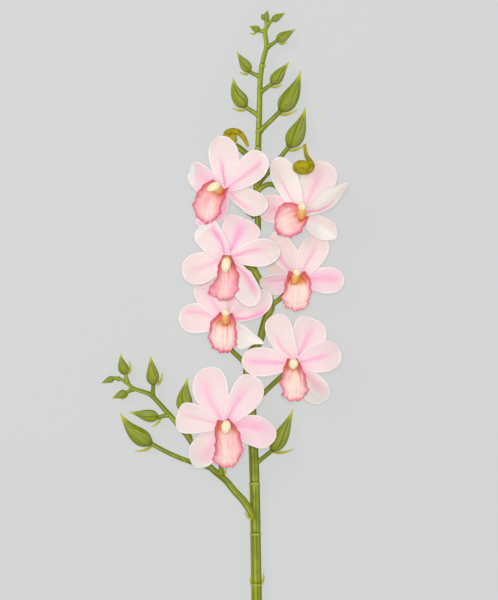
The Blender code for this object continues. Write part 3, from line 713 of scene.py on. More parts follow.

# %% [markdown]
# ## The lip and the column
# The lip is peach pink, with a crimson frill, and red streaks run out of its throat. Its side
# walls are a deeper pink, partly their own colour and partly painted shade. The column is
# cream on its cap and orange below it, redder at its foot. Both read marks again, so each
# bloom's lip can be paler or redder than the next with the same finish.

# %% Lip and column finishes
LIP_PEACH = (0.935, 0.700, 0.620, 1)
LIP_PINK = (0.885, 0.340, 0.400, 1)
# Deeper pink of the lip's walls, partly painted shade on the steep walls
LIP_DEEP_AND_SHADE = (0.750, 0.120, 0.180, 1)
LIP_ROSE = (0.880, 0.240, 0.340, 1)
CRIMSON = (0.790, 0.115, 0.215, 1)
STREAK_RED = (0.640, 0.190, 0.110, 1)
THROAT_RED = (0.530, 0.070, 0.020, 1)
THROAT_ORANGE = (0.730, 0.280, 0.060, 1)
CAP_CREAM = (0.900, 0.800, 0.550, 1)
CAP_PEACH = (0.830, 0.560, 0.300, 1)
COLUMN_ORANGE = (0.840, 0.400, 0.105, 1)
COLUMN_TAN = (0.880, 0.510, 0.210, 1)


def lip_finish(name, depth):
    f = Finish(name, Roughness=0.55, Specular_IOR_Level=0.25, Subsurface_Weight=0.15,
               Subsurface_Scale=0.002, Subsurface_Radius=(1.0, 0.5, 0.4))
    place = f.node("TexCoord", output="Object")
    grain = f.cloud(place, 420.0, 3.0)
    patches = f.cloud(place, 150.0, 2.0)
    pinker = f.mark("pink") + (patches - 0.5) * 0.7
    body = f.blend(f.smooth(pinker, 0.0, 1.0), LIP_PEACH, LIP_PINK)
    # The walls turn deeper pink: partly their own colour, partly painted shade
    body = f.blend(f.mark("wall") * (0.6 + 0.6 * patches) * depth, body, LIP_DEEP_AND_SHADE)
    lines_at = f.node(
        "CombineXYZ", X=f.mark("across") * 8.0, Y=f.mark("along") * 1.6, Z=f.mark("own")
    )
    lines = f.cloud(lines_at, 1.0, 2.0)
    streaks = f.smooth(lines, 0.50, 0.66) * f.mark("streak")
    body = f.blend(f.smooth(lines, 0.45, 0.65) * 0.30 * depth, body, LIP_PINK)
    body = f.blend(streaks * 0.85 * depth, body, STREAK_RED)
    throat = f.blend(f.smooth(lines, 0.40, 0.60), THROAT_ORANGE, THROAT_RED)
    body = f.blend(f.mark("throat") * depth, body, throat)
    edge = f.mark("from_edge") + (grain - 0.5) * 1.2 + (patches - 0.5) * 1.6
    soft_edge = f.mark("from_edge") + (patches - 0.5) * 2.6
    crimson = f.mark("crimson")
    body = f.blend((1 - f.smooth(soft_edge, 0.2, 3.4)) * 0.80 * crimson, body, LIP_ROSE)
    body = f.blend((1 - f.smooth(edge, 0.0, 1.4)) * crimson * 0.85, body, CRIMSON)
    f.colour(body)
    f.dents(lines + grain * 0.5, 0.3, 0.0005)
    return f.material


def column_finish():
    f = Finish("column_skin", Roughness=0.45, Specular_IOR_Level=0.3, Subsurface_Weight=0.1,
               Subsurface_Scale=0.002)
    place = f.node("TexCoord", output="Object")
    uv = f.node("UVMap", output="UV")
    grain = f.cloud(place, 350.0, 3.0)
    lines = f.cloud(f.node("Mapping", Vector=uv, Scale=(16.0, 0.8, 1.0)), 1.0, 2.0)
    face = f.blend(f.smooth(lines, 0.42, 0.62), COLUMN_ORANGE, COLUMN_TAN)
    face = f.blend(f.mark("deep"), face, THROAT_RED)
    cream = f.blend(f.smooth(grain, 0.45, 0.75) * 0.25, CAP_CREAM, CAP_PEACH)
    cream = f.blend(f.mark("seam") * 0.35, cream, CAP_PEACH)
    f.colour(f.blend(f.mark("cap"), face, cream))
    f.dents(grain, 0.2, 0.0003)
    return f.material


lip_front, lip_back = lip_finish("lip_front", 1.0), lip_finish("lip_back", 0.3)
column_skin = column_finish()
print("lip and column finishes made")

# %% [markdown]
# ## The blooms' measures
# Each bloom is described by its middle, its stalk, its lip and its tepals. The middles, the
# stalks and most tepals have the solids' numbers. Some tepals and every lip are fitted closer
# to the photograph, so a lip here is longer and starts nearer the bloom's middle. Beside them
# stand the looks: how deep each tepal's blush and streak are, where a tepal folds, and how red
# a lip is.

# %% Measures and looks of each bloom
Tepal = namedtuple("Tepal", "rise turn bend length width start end roll cup fold")
Lip = namedtuple("Lip", "base turn length horn heights left right left_wall right_wall")
Bloom = namedtuple("Bloom", "hub facing stalk lip tepals")
# Petals spring from the front of the hub, and sepals from its back
FRONT = 1.0
BACK = -1.0

# Each bloom: its middle, the way it faces, the line of its stalk from the stem to its back, its
# lip, and its tepals one by one, with angles in degrees and lengths in mm.
# A lip's reach to each side and the height of its walls are given at six places along it
BLOOMS = {
    "bloom_1": Bloom(
        (1.2, 132.3, 36), (-0.30, -0.10, 1), [(25, 112, 12), (14, 120, 15), (5, 130, 20)],
        Lip(
            (-1.6, 0.0), -118, 30.5, 3.5, (4.3, 7.5, 5.5),
            (11, 15.4, 16.2, 16.2, 15, 11.5), (3.5, 4, 4.8, 6.5, 6.5, 4.5),
            (4, 3, 3, 2, 1, 0), (6, 7, 7, 4, 2, 0),
        ),
        [
            Tepal(BACK, 92.9, 0, 43.5, 23.8, 8, -10, 0, 16, 0),
            Tepal(FRONT, 38, 0, 43.5, 24, 20, -4, -12, 18, 0),
            Tepal(BACK, -21, 0, 37, 21, 16, -2, 12, 16, 0),
            Tepal(FRONT, 155, 0, 33, 22.5, 4, -30, -20, 18, 0),
            Tepal(BACK, -133, -50, 37, 20, -6, -14, 25, 16, 0),
        ],
    ),
    "bloom_2": Bloom(
        (62.6, 113.0, 32), (-0.18, -0.12, 1), [(26, 132, 12), (38, 138, 12.5), (54, 128, 16)],
        Lip(
            (0.5, -1.5), -149, 24.5, 3.5, (4.3, 8, 6),
            (8, 13.5, 16.5, 14.5, 12.5, 7.5), (3.6, 7.6, 10, 10.5, 9, 6),
            (4, 4, 3, 2, 1, 0), (6, 5, 4, 3, 1, 0),
        ),
        [
            Tepal(FRONT, 113.9, 0, 51, 21, -4, -18, -4, 14, 0),
            Tepal(BACK, 66, 0, 47.5, 27, -6, -16, 0, 12, 0),
            Tepal(FRONT, 34, 16, 47, 22, 26, 10, -50, 20, 0),
            Tepal(BACK, -38, 0, 34, 19, -8, -4, 6, -12, 24),
            Tepal(BACK, 169, 0, 36, 23, -4, -20, 0, 16, 0),
        ],
    ),
    "bloom_3": Bloom(
        (3.7, 78.7, 41), (0.0, -0.10, 1), [(24, 70, 12), (16, 72, 17), (7, 77, 25)],
        Lip(
            (-0.4, 0.0), -94, 34.5, 1.5, (4.5, 7.5, 6),
            (3.6, 6, 7, 7.8, 12.8, 12.5), (2.8, 6.6, 9.4, 10.1, 10, 8.5),
            (6, 6, 6, 5, 2, 0), (6, 7, 8, 7, 4, 0),
        ),
        [
            Tepal(BACK, 66, 0, 34, 28, 8, -22, 0, 14, 0),
            Tepal(FRONT, 138, 0, 34, 26, 14, -24, -6, 8, 0),
            Tepal(BACK, 202, 0, 39, 25.5, 4, -12, 4, 10, 0),
            Tepal(FRONT, 6, 0, 42, 22, 10, -8, 6, 18, 0),
            Tepal(BACK, -61, 0, 44.5, 21, -2, -8, -8, 16, 0),
        ],
    ),
    "bloom_4": Bloom(
        (59.7, 61.3, 25), (-0.05, -0.10, 1), [(38, 40, 11.5), (46, 46, 11.8), (54, 54, 12.6)],
        Lip(
            (-0.8, 1.6), -91, 27.2, 4.8, (4.5, 8, 6),
            (7, 8.8, 9.6, 11.6, 11.2, 9), (6.4, 10.2, 11.2, 10.8, 9.6, 8.4),
            (7, 6, 4, 2, 1, 0), (7, 6, 4, 2, 1, 0),
        ),
        [
            Tepal(BACK, 118, 0, 43, 21.5, -4, -8, -8, 16, 0),
            Tepal(FRONT, 61, 0, 40, 23, 2, -12, 0, 14, 0),
            Tepal(BACK, -2.5, 0, 37, 21.6, 2, -8, 0, 16, 0),
            Tepal(FRONT, 188, 0, 31, 20, 16, -14, -30, 20, 0),
            Tepal(BACK - 1.4, 153, 0, 27, 18, -10, -12, -6, 4, 0),
        ],
    ),
    "bloom_5": Bloom(
        (2.0, 27.7, 26), (0.0, -0.10, 1), [(20, -9, 9), (12, -1.5, 11), (4.5, 8, 12.5)],
        Lip(
            (0.0, 0.8), -94, 26.4, 6, (4.5, 8, 6),
            (5.4, 11, 12.4, 12.9, 11.4, 8.5), (4.8, 8, 8.4, 9.8, 9.3, 7),
            (7, 5, 3, 2, 1, 0), (7, 5, 4, 3, 1, 0),
        ),
        [
            Tepal(BACK, 175, 0, 38, 24.5, 2, -8, 0, 14, 0),
            Tepal(FRONT, 124, 0, 39, 21, 4, -6, 0, 16, 0),
            Tepal(BACK, 75, 0, 38, 22, -2, -4, 0, 14, 0),
            Tepal(FRONT, 30.3, 0, 42, 21, 6, 0, 8, 18, 0),
            Tepal(BACK, -31, 0, 36, 18.5, -6, -6, 10, 14, 20),
        ],
    ),
    "bloom_6": Bloom(
        (57.2, -6.6, 32), (-0.05, -0.12, 1), [(22.5, -41, 8.2), (36, -27, 11), (52, -12, 16)],
        Lip(
            (-1.6, 2.4), -90, 32, 2.4, (4.5, 8, 6),
            (4.8, 7, 9.2, 10.2, 8.4, 8.6), (3.2, 6.8, 9, 10.6, 11.6, 10.5),
            (6, 6, 5, 4, 2, 0), (6, 6, 7, 6, 3, 0),
        ),
        [
            Tepal(BACK, 176.8, 0, 42.8, 23.5, 6, -12, 4, 14, 0),
            Tepal(FRONT, 113, 0, 43, 24, 10, -12, 0, 16, 0),
            Tepal(BACK, 64.5, 0, 39.5, 26.5, 6, -16, 0, 14, 0),
            Tepal(FRONT, 15, 0, 38, 25.5, 10, -18, 0, 16, 0),
            Tepal(BACK, -52, 0, 40, 22, -2, -24, 14, 14, 0),
        ],
    ),
    "bloom_7": Bloom(
        (-0.3, -55.2, 36), (0.04, -0.10, 1), [(-2, -96.5, 13.5), (-2, -86, 16), (-1, -66, 21)],
        Lip(
            (0.4, 3.6), -82, 37.6, 1.5, (4.5, 8, 6),
            (4.8, 7.7, 8.4, 9.4, 12.5, 11.5), (4.8, 9.6, 11.2, 12.4, 11, 8),
            (6, 6, 7, 5, 2, 0), (6, 6, 6, 4, 2, 0),
        ),
        [
            Tepal(FRONT, 168, 0, 38, 23, 12, -12, 0, 16, 0),
            Tepal(BACK, 106, 0, 48, 29.5, 6, -14, 0, 14, 0),
            Tepal(FRONT, 53.5, 0, 47, 25.6, 12, -12, 0, 16, 0),
            Tepal(BACK, -9.5, 0, 43.5, 25, 4, -12, 0, 14, 0),
            Tepal(BACK, -127, 0, 42.5, 23, 0, -28, 10, 14, 0),
        ],
    ),
}

# Each tepal's blush, where a value under 0 makes it whiter as painted light on a tepal that its
# tilt shades, its streak's strength, the streak's place from -1 (right) to 1 (left), how far
# along it runs, and how wide it is
Look = namedtuple("Look", "blush streak shift reach spread")
LOOKS = {
    "bloom_1": [
        Look(0.18, 1.25, 0.15, 0.62, 0.20), Look(0.30, 0.85, -0.10, 1.0, 0.20),
        Look(0.15, 0.60, -0.60, 0.80, 0.20), Look(0.62, 0.40, -0.1, 0.9, 0.40),
        Look(1.0, 0.50, 0.0, 1.0, 0.50),
    ],
    "bloom_2": [
        Look(-0.30, 0.80, 0.35, 0.75, 0.14), Look(0.25, 0.62, 0.0, 0.90, 0.24),
        Look(-0.50, 1.00, -0.7, 0.70, 0.28), Look(0.15, 0.60, 0.3, 0.5, 0.30),
        Look(0.55, 0.55, 0.0, 0.9, 0.30),
    ],
    "bloom_3": [
        Look(0.50, 0.95, 0.0, 0.95, 0.28), Look(0.25, 1.30, -0.55, 0.85, 0.22),
        Look(0.12, 0.50, 0.0, 0.95, 0.26), Look(0.22, 0.85, 0.3, 0.8, 0.22),
        Look(-0.70, 1.05, 0.55, 0.95, 0.36),
    ],
    "bloom_4": [
        Look(0.12, 0.75, 0.45, 0.8, 0.25), Look(0.20, 0.70, 0.0, 0.85, 0.18),
        Look(0.60, 0.75, 0.15, 1.0, 0.42), Look(0.60, 0.50, -0.2, 0.9, 0.35),
        Look(0.15, 0.25, 0.0, 0.6, 0.20),
    ],
    "bloom_5": [
        Look(0.30, 0.60, -0.40, 1.0, 0.20), Look(0.35, 0.50, 0.0, 0.8, 0.26),
        Look(0.25, 0.40, 0.0, 0.7, 0.30), Look(0.30, 1.25, -0.82, 0.90, 0.28),
        Look(-0.10, 0.20, 0.2, 0.3, 0.40),
    ],
    "bloom_6": [
        Look(0.50, 0.80, 0.0, 1.0, 0.22), Look(0.18, 0.75, 0.45, 0.75, 0.17),
        Look(0.40, 0.75, 0.0, 0.9, 0.24), Look(0.40, 0.70, 0.0, 0.85, 0.24),
        Look(-0.30, 0.60, 0.3, 0.9, 0.45),
    ],
    "bloom_7": [
        Look(0.16, 0.45, -0.15, 0.95, 0.16), Look(0.38, 0.55, 0.3, 0.9, 0.26),
        Look(0.40, 0.72, 0.25, 0.80, 0.32), Look(0.60, 0.66, 0.3, 0.9, 0.40),
        Look(0.10, 0.55, 0.3, 0.9, 0.50),
    ],
}

# How a tepal's outline departs from the common one: its reach to the right and to the left at six
# places along it, as shares, and how far its tip leans to the left in mm
Outline = namedtuple("Outline", "right left lean")
EVEN = (1, 1, 1, 1, 1, 1)
OUTLINES = {
    ("bloom_1", 0): Outline((1, 1, 1.04, 1.06, 1.05, 1), (1, 1, 1, 1, 0.93, 0.8), 1.0),
    ("bloom_1", 1): Outline((1, 1, 1, 1, 1, 0.9), (0.6, 0.7, 0.85, 0.97, 1.08, 1.25), 0),
    ("bloom_1", 2): Outline((1, 1, 1, 1.1, 1.22, 1.2), (1, 1, 0.86, 0.78, 0.72, 0.6), 0),
    ("bloom_1", 3): Outline((1, 1, 1, 1, 1.1, 1.3), EVEN, -2.0),
    ("bloom_1", 4): Outline((1, 0.9, 0.7, 0.5, 0.4, 0.3), (1, 1.25, 1.35, 1.2, 1.0, 0.8), 0),
    ("bloom_2", 0): Outline((0.9, 0.9, 0.92, 0.96, 1, 1), EVEN, 0),
    ("bloom_2", 1): Outline((1, 1, 1, 1.08, 1.12, 1.1), (1, 1, 1, 0.96, 0.92, 0.95), -0.8),
    ("bloom_2", 2): Outline((1, 1.12, 1.2, 1.1, 0.8, 0.4), (1, 1, 0.95, 0.8, 0.6, 0.3), 0),
    ("bloom_2", 3): Outline((1, 1, 1, 0.9, 0.75, 0.5), (1, 1, 1.05, 1.05, 1, 0.6), 1.5),
    ("bloom_3", 0): Outline((1, 0.95, 0.96, 1.1, 1.25, 1.5), (0.9, 0.92, 0.96, 1.02, 1.2, 1.5), 0),
    ("bloom_3", 1): Outline((1, 1, 1, 1.02, 1.15, 1.3), (1, 0.95, 0.82, 0.72, 0.75, 0.8), -1.0),
    ("bloom_3", 3): Outline((1, 1, 0.95, 0.92, 0.9, 0.85), (1, 1, 1.06, 1.12, 1.1, 1.0), 0),
    ("bloom_4", 0): Outline((1, 1.05, 1.12, 0.92, 0.8, 0.8), EVEN, -1.0),
    ("bloom_4", 3): Outline((1, 1, 0.92, 0.82, 0.8, 0.8), (1, 1, 1.1, 1.2, 1.1, 0.8), -1.0),
    ("bloom_5", 4): Outline((1, 1.1, 1.3, 1.55, 0.6, 0.3), (0.7, 0.62, 0.55, 0.38, 0.3, 0.2), 0),
    ("bloom_6", 1): Outline((0.9, 0.8, 0.74, 0.74, 0.86, 1), (1, 1, 1, 1.02, 1.08, 1.2), -0.5),
    ("bloom_6", 2): Outline((1, 1, 1, 1.02, 1.06, 1.1), (1, 0.95, 0.97, 1.04, 1.2, 1.5), 0),
    ("bloom_6", 4): Outline((1, 1, 1.05, 1.1, 1.15, 1.1), (1, 1, 1, 1, 1.02, 1), 0),
    ("bloom_7", 0): Outline(
        (0.95, 0.92, 0.94, 1.02, 1.18, 1.5), (0.95, 0.92, 0.94, 1.04, 1.2, 1.5), 0
    ),
    ("bloom_7", 1): Outline((0.9, 0.85, 0.82, 0.84, 0.9, 1), (1, 1, 1.05, 1.1, 1.08, 1.0), 0),
    ("bloom_7", 2): Outline((1, 1, 1, 1.02, 1.05, 1), (0.68, 0.74, 0.84, 0.95, 1.08, 1.25), 0),
    ("bloom_7", 3): Outline((1, 1, 1, 1.05, 1.1, 1), (1, 1, 1, 0.98, 0.9, 0.75), -1.0),
    ("bloom_7", 4): Outline((1, 1, 1, 1.05, 1.02, 0.8), (1, 1, 1, 0.98, 0.88, 0.6), 2.0),
}

# Where a tepal creases, by its place in its bloom: the line of the crease, with the folded part
# on its left, how steeply that part drops, and how white it turns
Crease = namedtuple("Crease", "x0 y0 x1 y1 slope white")
CREASES = {
    ("bloom_1", 3): [Crease(-23.9, 127.5, -21.5, 156.2, 0.6, 0.9)],
    ("bloom_1", 1): [Crease(27.5, 165.2, 34.7, 135.0, 0.3, 0.5)],
    ("bloom_2", 3): [
        Crease(70.0, 90.1, 77.2, 105.3, -0.35, 0.4), Crease(91.6, 94.9, 77.2, 105.3, 0.35, 1.0),
    ],
    ("bloom_3", 1): [Crease(-22.5, 90.6, -7.4, 105.2, 0.6, 0.9)],
    ("bloom_3", 2): [Crease(-21.0, 51.7, -34.6, 63.6, 0.6, 0.0)],
    ("bloom_4", 3): [Crease(48.4, 47.7, 30.0, 61.7, 0.8, 0.7)],
    ("bloom_5", 4): [Crease(16.0, 30.0, 10.0, 12.0, 0.05, 0.95)],
    ("bloom_6", 4): [Crease(84.5, -34.8, 66.0, -24.8, 0.7, 0.95)],
    ("bloom_7", 1): [Crease(-24.5, -32.6, -20.2, -15.9, 0.5, 0.2)],
    ("bloom_7", 4): [Crease(-6.8, -87.6, -29.2, -82.0, 0.6, 0.8)],
}

# Each cap: its middle from the bloom's middle, its length, width and turn; the foot of the
# column from the bloom's middle
Cap = namedtuple("Cap", "middle length width turn foot")
CAPS = {
    "bloom_1": Cap((-8.8, 1.8, 13.0), 12.2, 6.8, 208, (-2.3, -1.8, 4)),
    "bloom_2": Cap((0.1, 5.9, 12.5), 7.0, 6.6, 80, (-0.7, -4.3, 4)),
    "bloom_3": Cap((-1.5, -6.7, 13.5), 12.2, 7.6, 262, (-0.8, -1.0, 5)),
    "bloom_4": Cap((-1.0, 5.3, 12.5), 6.6, 6.2, 60, (-3.7, -4.0, 4)),
    "bloom_5": Cap((-0.3, 6.8, 12.5), 6.6, 6.2, 90, (-0.4, -2.8, 4)),
    "bloom_6": Cap((-1.4, 0.3, 13.0), 8.8, 7.4, 262, (-1.7, -2.0, 4)),
    "bloom_7": Cap((2.5, -1.0, 13.5), 11.2, 7.8, 262, (2.4, 0.9, 4)),
}

# Each lip's looks: how pink its middle is, how red and how wide its rim is in mm, how strong its
# streaks and its throat are, and how deep the colour of its walls is, a deeper pink that is
# partly painted shade
LipLook = namedtuple("LipLook", "pink crimson rim streaks throat walls")
LIP_LOOKS = {
    "bloom_1": LipLook(0.48, 0.95, 1.7, 0.7, 0.9, 0.8),
    "bloom_2": LipLook(0.40, 1.00, 1.9, 0.6, 0.7, 0.9),
    "bloom_3": LipLook(0.60, 0.90, 1.1, 0.9, 1.0, 0.8),
    "bloom_4": LipLook(0.05, 0.65, 1.4, 0.7, 1.0, 1.0),
    "bloom_5": LipLook(-0.10, 1.00, 1.8, 0.6, 0.8, 1.0),
    "bloom_6": LipLook(0.22, 0.80, 1.4, 0.9, 1.0, 0.9),
    "bloom_7": LipLook(0.40, 0.75, 1.6, 0.8, 0.9, 1.0),
}
print("blooms:", len(BLOOMS), "tepals:", sum(len(b.tepals) for b in BLOOMS.values()))

# %% [markdown]
# ## A tepal
# The real tepal is a narrow claw that widens to a round blade, arched across and bent along
# its midrib. The midrib's line is summed first from its slope. Then each grid point goes out
# from it along the arch. A little unevenness of the edge, a groove along the midrib and soft
# waves keep it from looking pressed from one mould.

# %% Shape one tepal
MIDRIB_STEPS = 120
CLAW = 0.08
WIDEST = 0.432
TEPAL_THICKNESS = 0.55


def tepal(bloom_name, index):
    bloom = BLOOMS[bloom_name]
    shape, look = bloom.tepals[index], LOOKS[bloom_name][index]
    outline = OUTLINES.get((bloom_name, index), Outline(EVEN, EVEN, 0))
    creases = CREASES.get((bloom_name, index), [])
    facing = Vector(bloom.facing).normalized()
    own = shape.turn + 10 * index

    def slope(t):
        fold = shape.fold * smooth_step((t - 0.45) / 0.35)
        return math.radians(shape.start + (shape.end - shape.start) * t + fold)

    def level(t):
        return plan_direction(shape.turn + shape.bend * (t - 0.5))

    line = [Vector(bloom.hub) + facing * shape.rise]
    for k in range(MIDRIB_STEPS):
        t = (k + 0.5) / MIDRIB_STEPS
        step = level(t) * math.cos(slope(t)) + UP * math.sin(slope(t))
        line.append(line[-1] + step * shape.length / MIDRIB_STEPS)
    roll = math.radians(shape.roll)

    def place(s, row):
        t = math.sin(math.pi / 2 * row)
        at = min(int(t * MIDRIB_STEPS), MIDRIB_STEPS - 1)
        point = line[at].lerp(line[at + 1], t * MIDRIB_STEPS - at)
        ahead = level(t) * math.cos(slope(t)) + UP * math.sin(slope(t))
        lean = UP * math.cos(slope(t)) - level(t) * math.sin(slope(t))
        across = UP.cross(level(t)) * math.cos(roll) + lean * math.sin(roll)
        above = ahead.cross(across)
        half = shape.width / 2 * (t + CLAW) * math.sqrt(max(1 - t, 0)) / WIDEST
        half *= at_share(outline.left if s > 0 else outline.right, t)
        half *= 1 + 0.015 * math.sin(11 * t + own) * s
        arch = math.radians(shape.cup * smooth_step(t * 1.2)) or 0.01
        out = half * math.sin(arch * s) / arch
        lift = half * (1 - math.cos(arch * s)) / arch
        out += outline.lean * smooth_step((t - 0.4) / 0.6)
        calm = min(half, 1.0)
        lift += 0.5 * s * s * smooth_step(t * 1.4) * math.sin(7 * t + 2.5 * s + shape.turn) * calm
        lift += 0.28 * s**4 * smooth_step(t * 2) * math.sin(15 * t + own + 2 * s) * calm
        lift -= 0.45 * bell(s * half / 0.9) * (1 - t) ** 0.7 * calm
        lift += 0.07 * (1 - s * s) * math.cos(2.2 * s * half + own) * calm * t
        point = point + across * out + above * lift
        folded = 0.0
        for c in creases:
            run = math.hypot(c.x1 - c.x0, c.y1 - c.y0)
            past = ((c.x1 - c.x0) * (point.y - c.y0) - (c.y1 - c.y0) * (point.x - c.x0)) / run
            if past > 0:
                point.z -= c.slope * past * past / (past + 1.2)
                folded = max(folded, c.white * smooth_step(past / 0.9))
        to_side = (1 - abs(s)) * half
        to_tip = (1 - t) * shape.length
        off = s - look.shift * smooth_step(t * 2.5)
        fade = 1 - smooth_step((t - look.reach + 0.3) / 0.35)
        streak = look.streak * fade * bell(off / (look.spread * (0.55 + 0.6 * t)))
        root = smooth_step((0.34 - t) / 0.34)
        # A blush under 0 stands for painted light that whitens a tepal its tilt shades
        blush = look.blush * (0.55 + 0.5 * (1 - t)) + 0.45 * root + 0.35 * streak
        facts = {
            "from_midrib": s * half, "streak_off": (s - off) * half, "along": t,
            "from_edge": min(to_side, to_tip * 0.8), "blush": min(blush, 1.0),
            "streak": min(0.75 * streak + 0.25 * root * look.streak, 1.0), "folded": folded,
            "own": float(index * 3.7),
        }
        return point, facts

    sheet = new_grid("tepal", 26, 34)
    shape_grid(sheet, place)
    sew()
    return thicken(sheet, TEPAL_THICKNESS, [tepal_front, tepal_back])


# %% [markdown]
# ## A lip
# The real lip is a trough under the column whose walls stand up beside it, and ends in a
# broad frilled lobe. Its reach to each side and its walls' height are given at six places and
# softly joined, and three sizes of ripple make the frill.

# %% Shape one lip
LIP_THICKNESS = 0.55


def lip(bloom_name):
    bloom, look = BLOOMS[bloom_name], LIP_LOOKS[bloom_name]
    shape = bloom.lip
    ahead = plan_direction(shape.turn)
    side = UP.cross(ahead)
    root = Vector(bloom.hub) + Vector((*shape.base, 0))
    own = shape.turn * 1.7

    def place(s, t):
        right = s > 0
        reach = at_share(shape.right if right else shape.left, t)
        wall = at_share(shape.right_wall if right else shape.left_wall, t)
        edge = abs(s) ** 4 * smooth_step((t - 0.05) / 0.25)
        end = smooth_step((t - 0.80) / 0.20)
        phase = own + (3 if right else 0)
        frill = math.sin(17 * t + phase) + 0.7 * math.sin(33 * t + 2 * phase)
        frill += 0.2 * math.sin(57 * t + phase)
        end_frill = math.sin(8 * s + own) + 0.7 * math.sin(17 * s + 2 * own)
        end_frill += 0.2 * math.sin(31 * s + own)
        along = shape.length * (t - 0.14 * s * s * t**3)
        along -= shape.horn * smooth_step(abs(s) / 0.85) * (1 - t) ** 2
        along += 0.55 * end * end_frill
        open_out = smooth_step((t - 0.4) / 0.4)
        steep = smooth_step(t / 0.2) * (1 - open_out)
        share = s + (math.sin(math.pi / 2 * s) - s) * steep
        out = reach * share + 0.55 * edge * frill * math.copysign(1, s)
        rise = at_share(shape.heights, t) + wall * abs(s) ** 2.2
        rise += 1.2 * edge * (math.sin(23 * t + phase + 1.2) + 0.5 * math.sin(41 * t + phase))
        rise += 1.2 * end * math.sin(14 * s + own + 0.7)
        rise += 0.5 * bell(s / 0.22) * smooth_step(t / 0.2) * (1 - smooth_step((t - 0.5) / 0.3))
        rise -= 0.5 * bell((abs(s) - 0.32) / 0.12) * math.sin(math.pi * t)
        rise += 0.7 * bell((t - 0.72) / 0.10) * (1 - s * s)
        point = root + ahead * along + side * out + UP * rise
        to_side = (1 - abs(s)) * reach * 1.2
        to_back = t * shape.length + (1 - smooth_step(abs(s) / 0.5)) * 9
        back = (1 - t) ** 3
        facts = {
            "from_edge": min(to_side, (1 - t) * shape.length, to_back) / look.rim,
            "along": t, "across": s, "own": own, "crimson": look.crimson,
            "pink": look.pink + 0.5 * s * s - 0.35 * bell((t - 0.78) / 0.25) * bell(s / 0.6),
            "streak": look.streaks * smooth_step((0.68 - t) / 0.45) * smooth_step(1.6 - abs(s)),
            "throat": look.throat * smooth_step((0.34 - t) / 0.22) * (1 - 0.5 * s * s * back),
            # Deeper pink on the walls, partly painted shade
            "wall": (
                look.walls * smooth_step((abs(s) - 0.45) / 0.4) * smooth_step((0.72 - t) / 0.35)
            ),
        }
        return point, facts

    sheet = new_grid("lip_sheet", 52, 66)
    shape_grid(sheet, place)
    sew()
    return thicken(sheet, LIP_THICKNESS, [lip_front, lip_back])


# %% [markdown]
# ## A column and its cap
# The real column is a short arched post that ends in a smooth anther cap. The post is a round
# body, and the cap starts as a sphere that is scaled and turned, then pinched towards its
# front and given a shallow groove.

# %% Shape one column
def column(bloom_name):
    bloom, cap = BLOOMS[bloom_name], CAPS[bloom_name]
    hub = Vector(bloom.hub)
    start, end = hub + Vector(cap.foot), hub + Vector(cap.middle)
    bend = start.lerp(end, 0.4) + UP * 1.5
    line = smooth_curve([start, bend, end], 8)

    def marks(t, angle):
        return {"cap": 0.0, "deep": 0.9 * smooth_step((0.45 - t) / 0.4)}

    def profile(t, angle):
        end_in = 1 - 0.6 * smooth_step((t - 0.65) / 0.35)
        return (1 + 0.12 * math.cos(2 * angle)) * (0.85 + 0.25 * t) * end_in

    radii = [cap.width * 0.48] * len(line)
    post = round_body("post", line, radii, 24, column_skin, profile, marks)
    bpy.ops.object.select_all(action="DESELECT")
    bpy.ops.mesh.primitive_uv_sphere_add(segments=28, ring_count=18, radius=MM)
    dome = bpy.context.object
    turn, side = plan_direction(cap.turn), plan_direction(cap.turn + 90)
    seams = []
    for vertex in dome.data.vertices:
        x, y, z = vertex.co / MM
        seams.append(bell(y / 0.14) * smooth_step(z * 2) + smooth_step((-0.55 - x) / 0.4))
        narrow = 1 - 0.22 * smooth_step(x)
        groove = 0.35 * bell(y / 0.16) * smooth_step(z * 2)
        place = turn * x * cap.length / 2 + side * y * narrow * cap.width / 2
        vertex.co = (end + place + UP * (z * cap.width * 0.36 - groove)) * MM
    values = [1.0] * len(dome.data.vertices)
    dome.data.attributes.new("cap", "FLOAT", "POINT").data.foreach_set("value", values)
    dome.data.attributes.new("seam", "FLOAT", "POINT").data.foreach_set("value", seams)
    dome.data.materials.append(column_skin)
    dome.data.shade_smooth()
    return [dome, post]


# %% [markdown]
# ## Putting the blooms together
# Each bloom has three pieces, as its solids have: its tepals on their hub, its lip and its
# column. The stalks join the stem or the side branch, whose green they share.

# %% Build the blooms
HUB_RADIUS = 4.2
STALK_FOOT_RADIUS = 2.0
STALK_END_RADIUS = 2.1


def hub_ball(bloom):
    """The small knob that the tepals spring from."""
    bpy.ops.object.select_all(action="DESELECT")
    bpy.ops.mesh.primitive_uv_sphere_add(
        segments=28, ring_count=18, radius=HUB_RADIUS * MM, location=Vector(bloom.hub) * MM
    )
    ball = bpy.context.object
    bpy.ops.object.transform_apply(location=True, rotation=True, scale=True)
    for name, value in (("blush", 0.4), ("from_edge", 9.0), ("from_midrib", 5.0), ("along", 0.1)):
        values = [value] * len(ball.data.vertices)
        ball.data.attributes.new(name, "FLOAT", "POINT").data.foreach_set("value", values)
    ball.data.materials.append(tepal_front)
    ball.data.shade_smooth()
    return ball


for name, bloom in BLOOMS.items():
    number = name[-1]
    parts = [tepal(name, k) for k in range(len(bloom.tepals))] + [hub_ball(bloom)]
    hand_over(join_pieces("tepals_" + number, parts), "tepal_pink", name + "_tepals")
    made_lip = lip(name)
    made_lip.name = "lip_" + number
    hand_over(made_lip, "lip_pink", name + "_lip")
    hand_over(join_pieces("column_" + number, column(name)), "column_cream", name + "_column")
    hub, facing = Vector(bloom.hub), Vector(bloom.facing).normalized()
    back = hub - facing * (HUB_RADIUS - 0.6)
    green = stalk([*bloom.stalk, back - facing * 7, back], STALK_FOOT_RADIUS, STALK_END_RADIUS)
    (branch_parts if name == "bloom_7" else stem_parts).append(green)

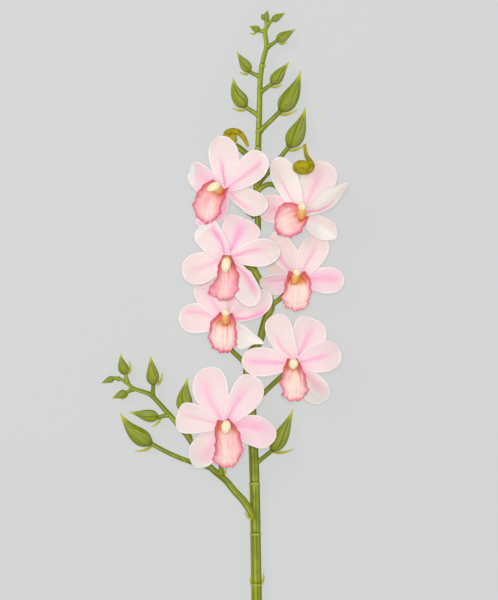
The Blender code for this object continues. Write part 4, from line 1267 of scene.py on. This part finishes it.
hand_over(join_pieces("stem_growth", stem_parts), "stem_green", "stem")
hand_over(join_pieces("branch_growth", branch_parts), "stem_green", "side_branch")

# %% [markdown]
# ## The two curled buds
# Two young buds near the upper blooms are rolled up like snails, olive yellow, with a thin
# tail. Each is a round body that swells from its tail into its coil.

# %% Build the curled buds
CURL_OLIVE = (0.400, 0.330, 0.003, 1)
CURL_DARK = (0.230, 0.190, 0.003, 1)
CURL_TIP = (0.450, 0.330, 0.010, 1)
# Each curled bud's line, from its tail's end into its coil, with its radius at each point
CURL_LEFT = [
    (19.6, 168.5, 14, 1.2), (16.8, 174.1, 15, 1.8), (13.2, 178.6, 16, 2.3), (8.4, 180.2, 17, 2.7),
    (4.0, 178.8, 17.5, 3.2), (3.0, 176.0, 18, 3.4), (5.6, 174.2, 18.5, 3.7),
    (8.6, 175.0, 18.8, 3.9), (10.2, 175.4, 19, 3.0),
]
CURL_RIGHT = [
    (65.5, 169.4, 14.5, 1.2), (65.8, 164.4, 19, 1.4), (66.8, 159.9, 23.5, 1.8),
    (69.0, 156.0, 27.5, 2.2), (70.6, 152.5, 31, 2.4), (69.4, 149.2, 32.5, 2.5),
    (65.6, 147.9, 33, 2.9), (61.2, 148.0, 33, 3.1), (58.4, 150.0, 33, 3.1),
    (60.0, 152.4, 33.3, 3.2), (63.6, 152.6, 34, 3.4), (66.4, 151.8, 34, 3.2),
    (68.6, 151.4, 33.2, 2.6),
]

curl_finish = Finish("curl_skin", Roughness=0.55, Specular_IOR_Level=0.2)
curl_cloud = curl_finish.cloud(curl_finish.node("TexCoord", output="Object"), 260.0, 3.0)
curl_body = curl_finish.blend(curl_finish.smooth(curl_cloud, 0.4, 0.7), CURL_OLIVE, CURL_DARK)
curl_tail = 1 - curl_finish.smooth(curl_finish.mark("along"), 0.0, 0.3)
curl_finish.colour(curl_finish.blend(curl_tail, curl_body, CURL_TIP))
curl_finish.dents(curl_cloud, 0.3, 0.0005)


def curl(points):
    line = smooth_curve([p[:3] for p in points], 8)
    last = len(line) - 1
    radii = [at_share([p[3] for p in points], k / last) for k in range(last + 1)]

    def profile(t, angle):
        return 1 + 0.06 * math.cos(3 * angle + 2 * t)

    return round_body(
        "curl", line, radii, 24, curl_finish.material, profile, lambda t, angle: {"along": t}
    )


for side_name, points in (("left", CURL_LEFT), ("right", CURL_RIGHT)):
    curled = curl(points)
    curled.name = "curl_" + side_name
    hand_over(curled, "curl_olive", "curled_bud_" + side_name)
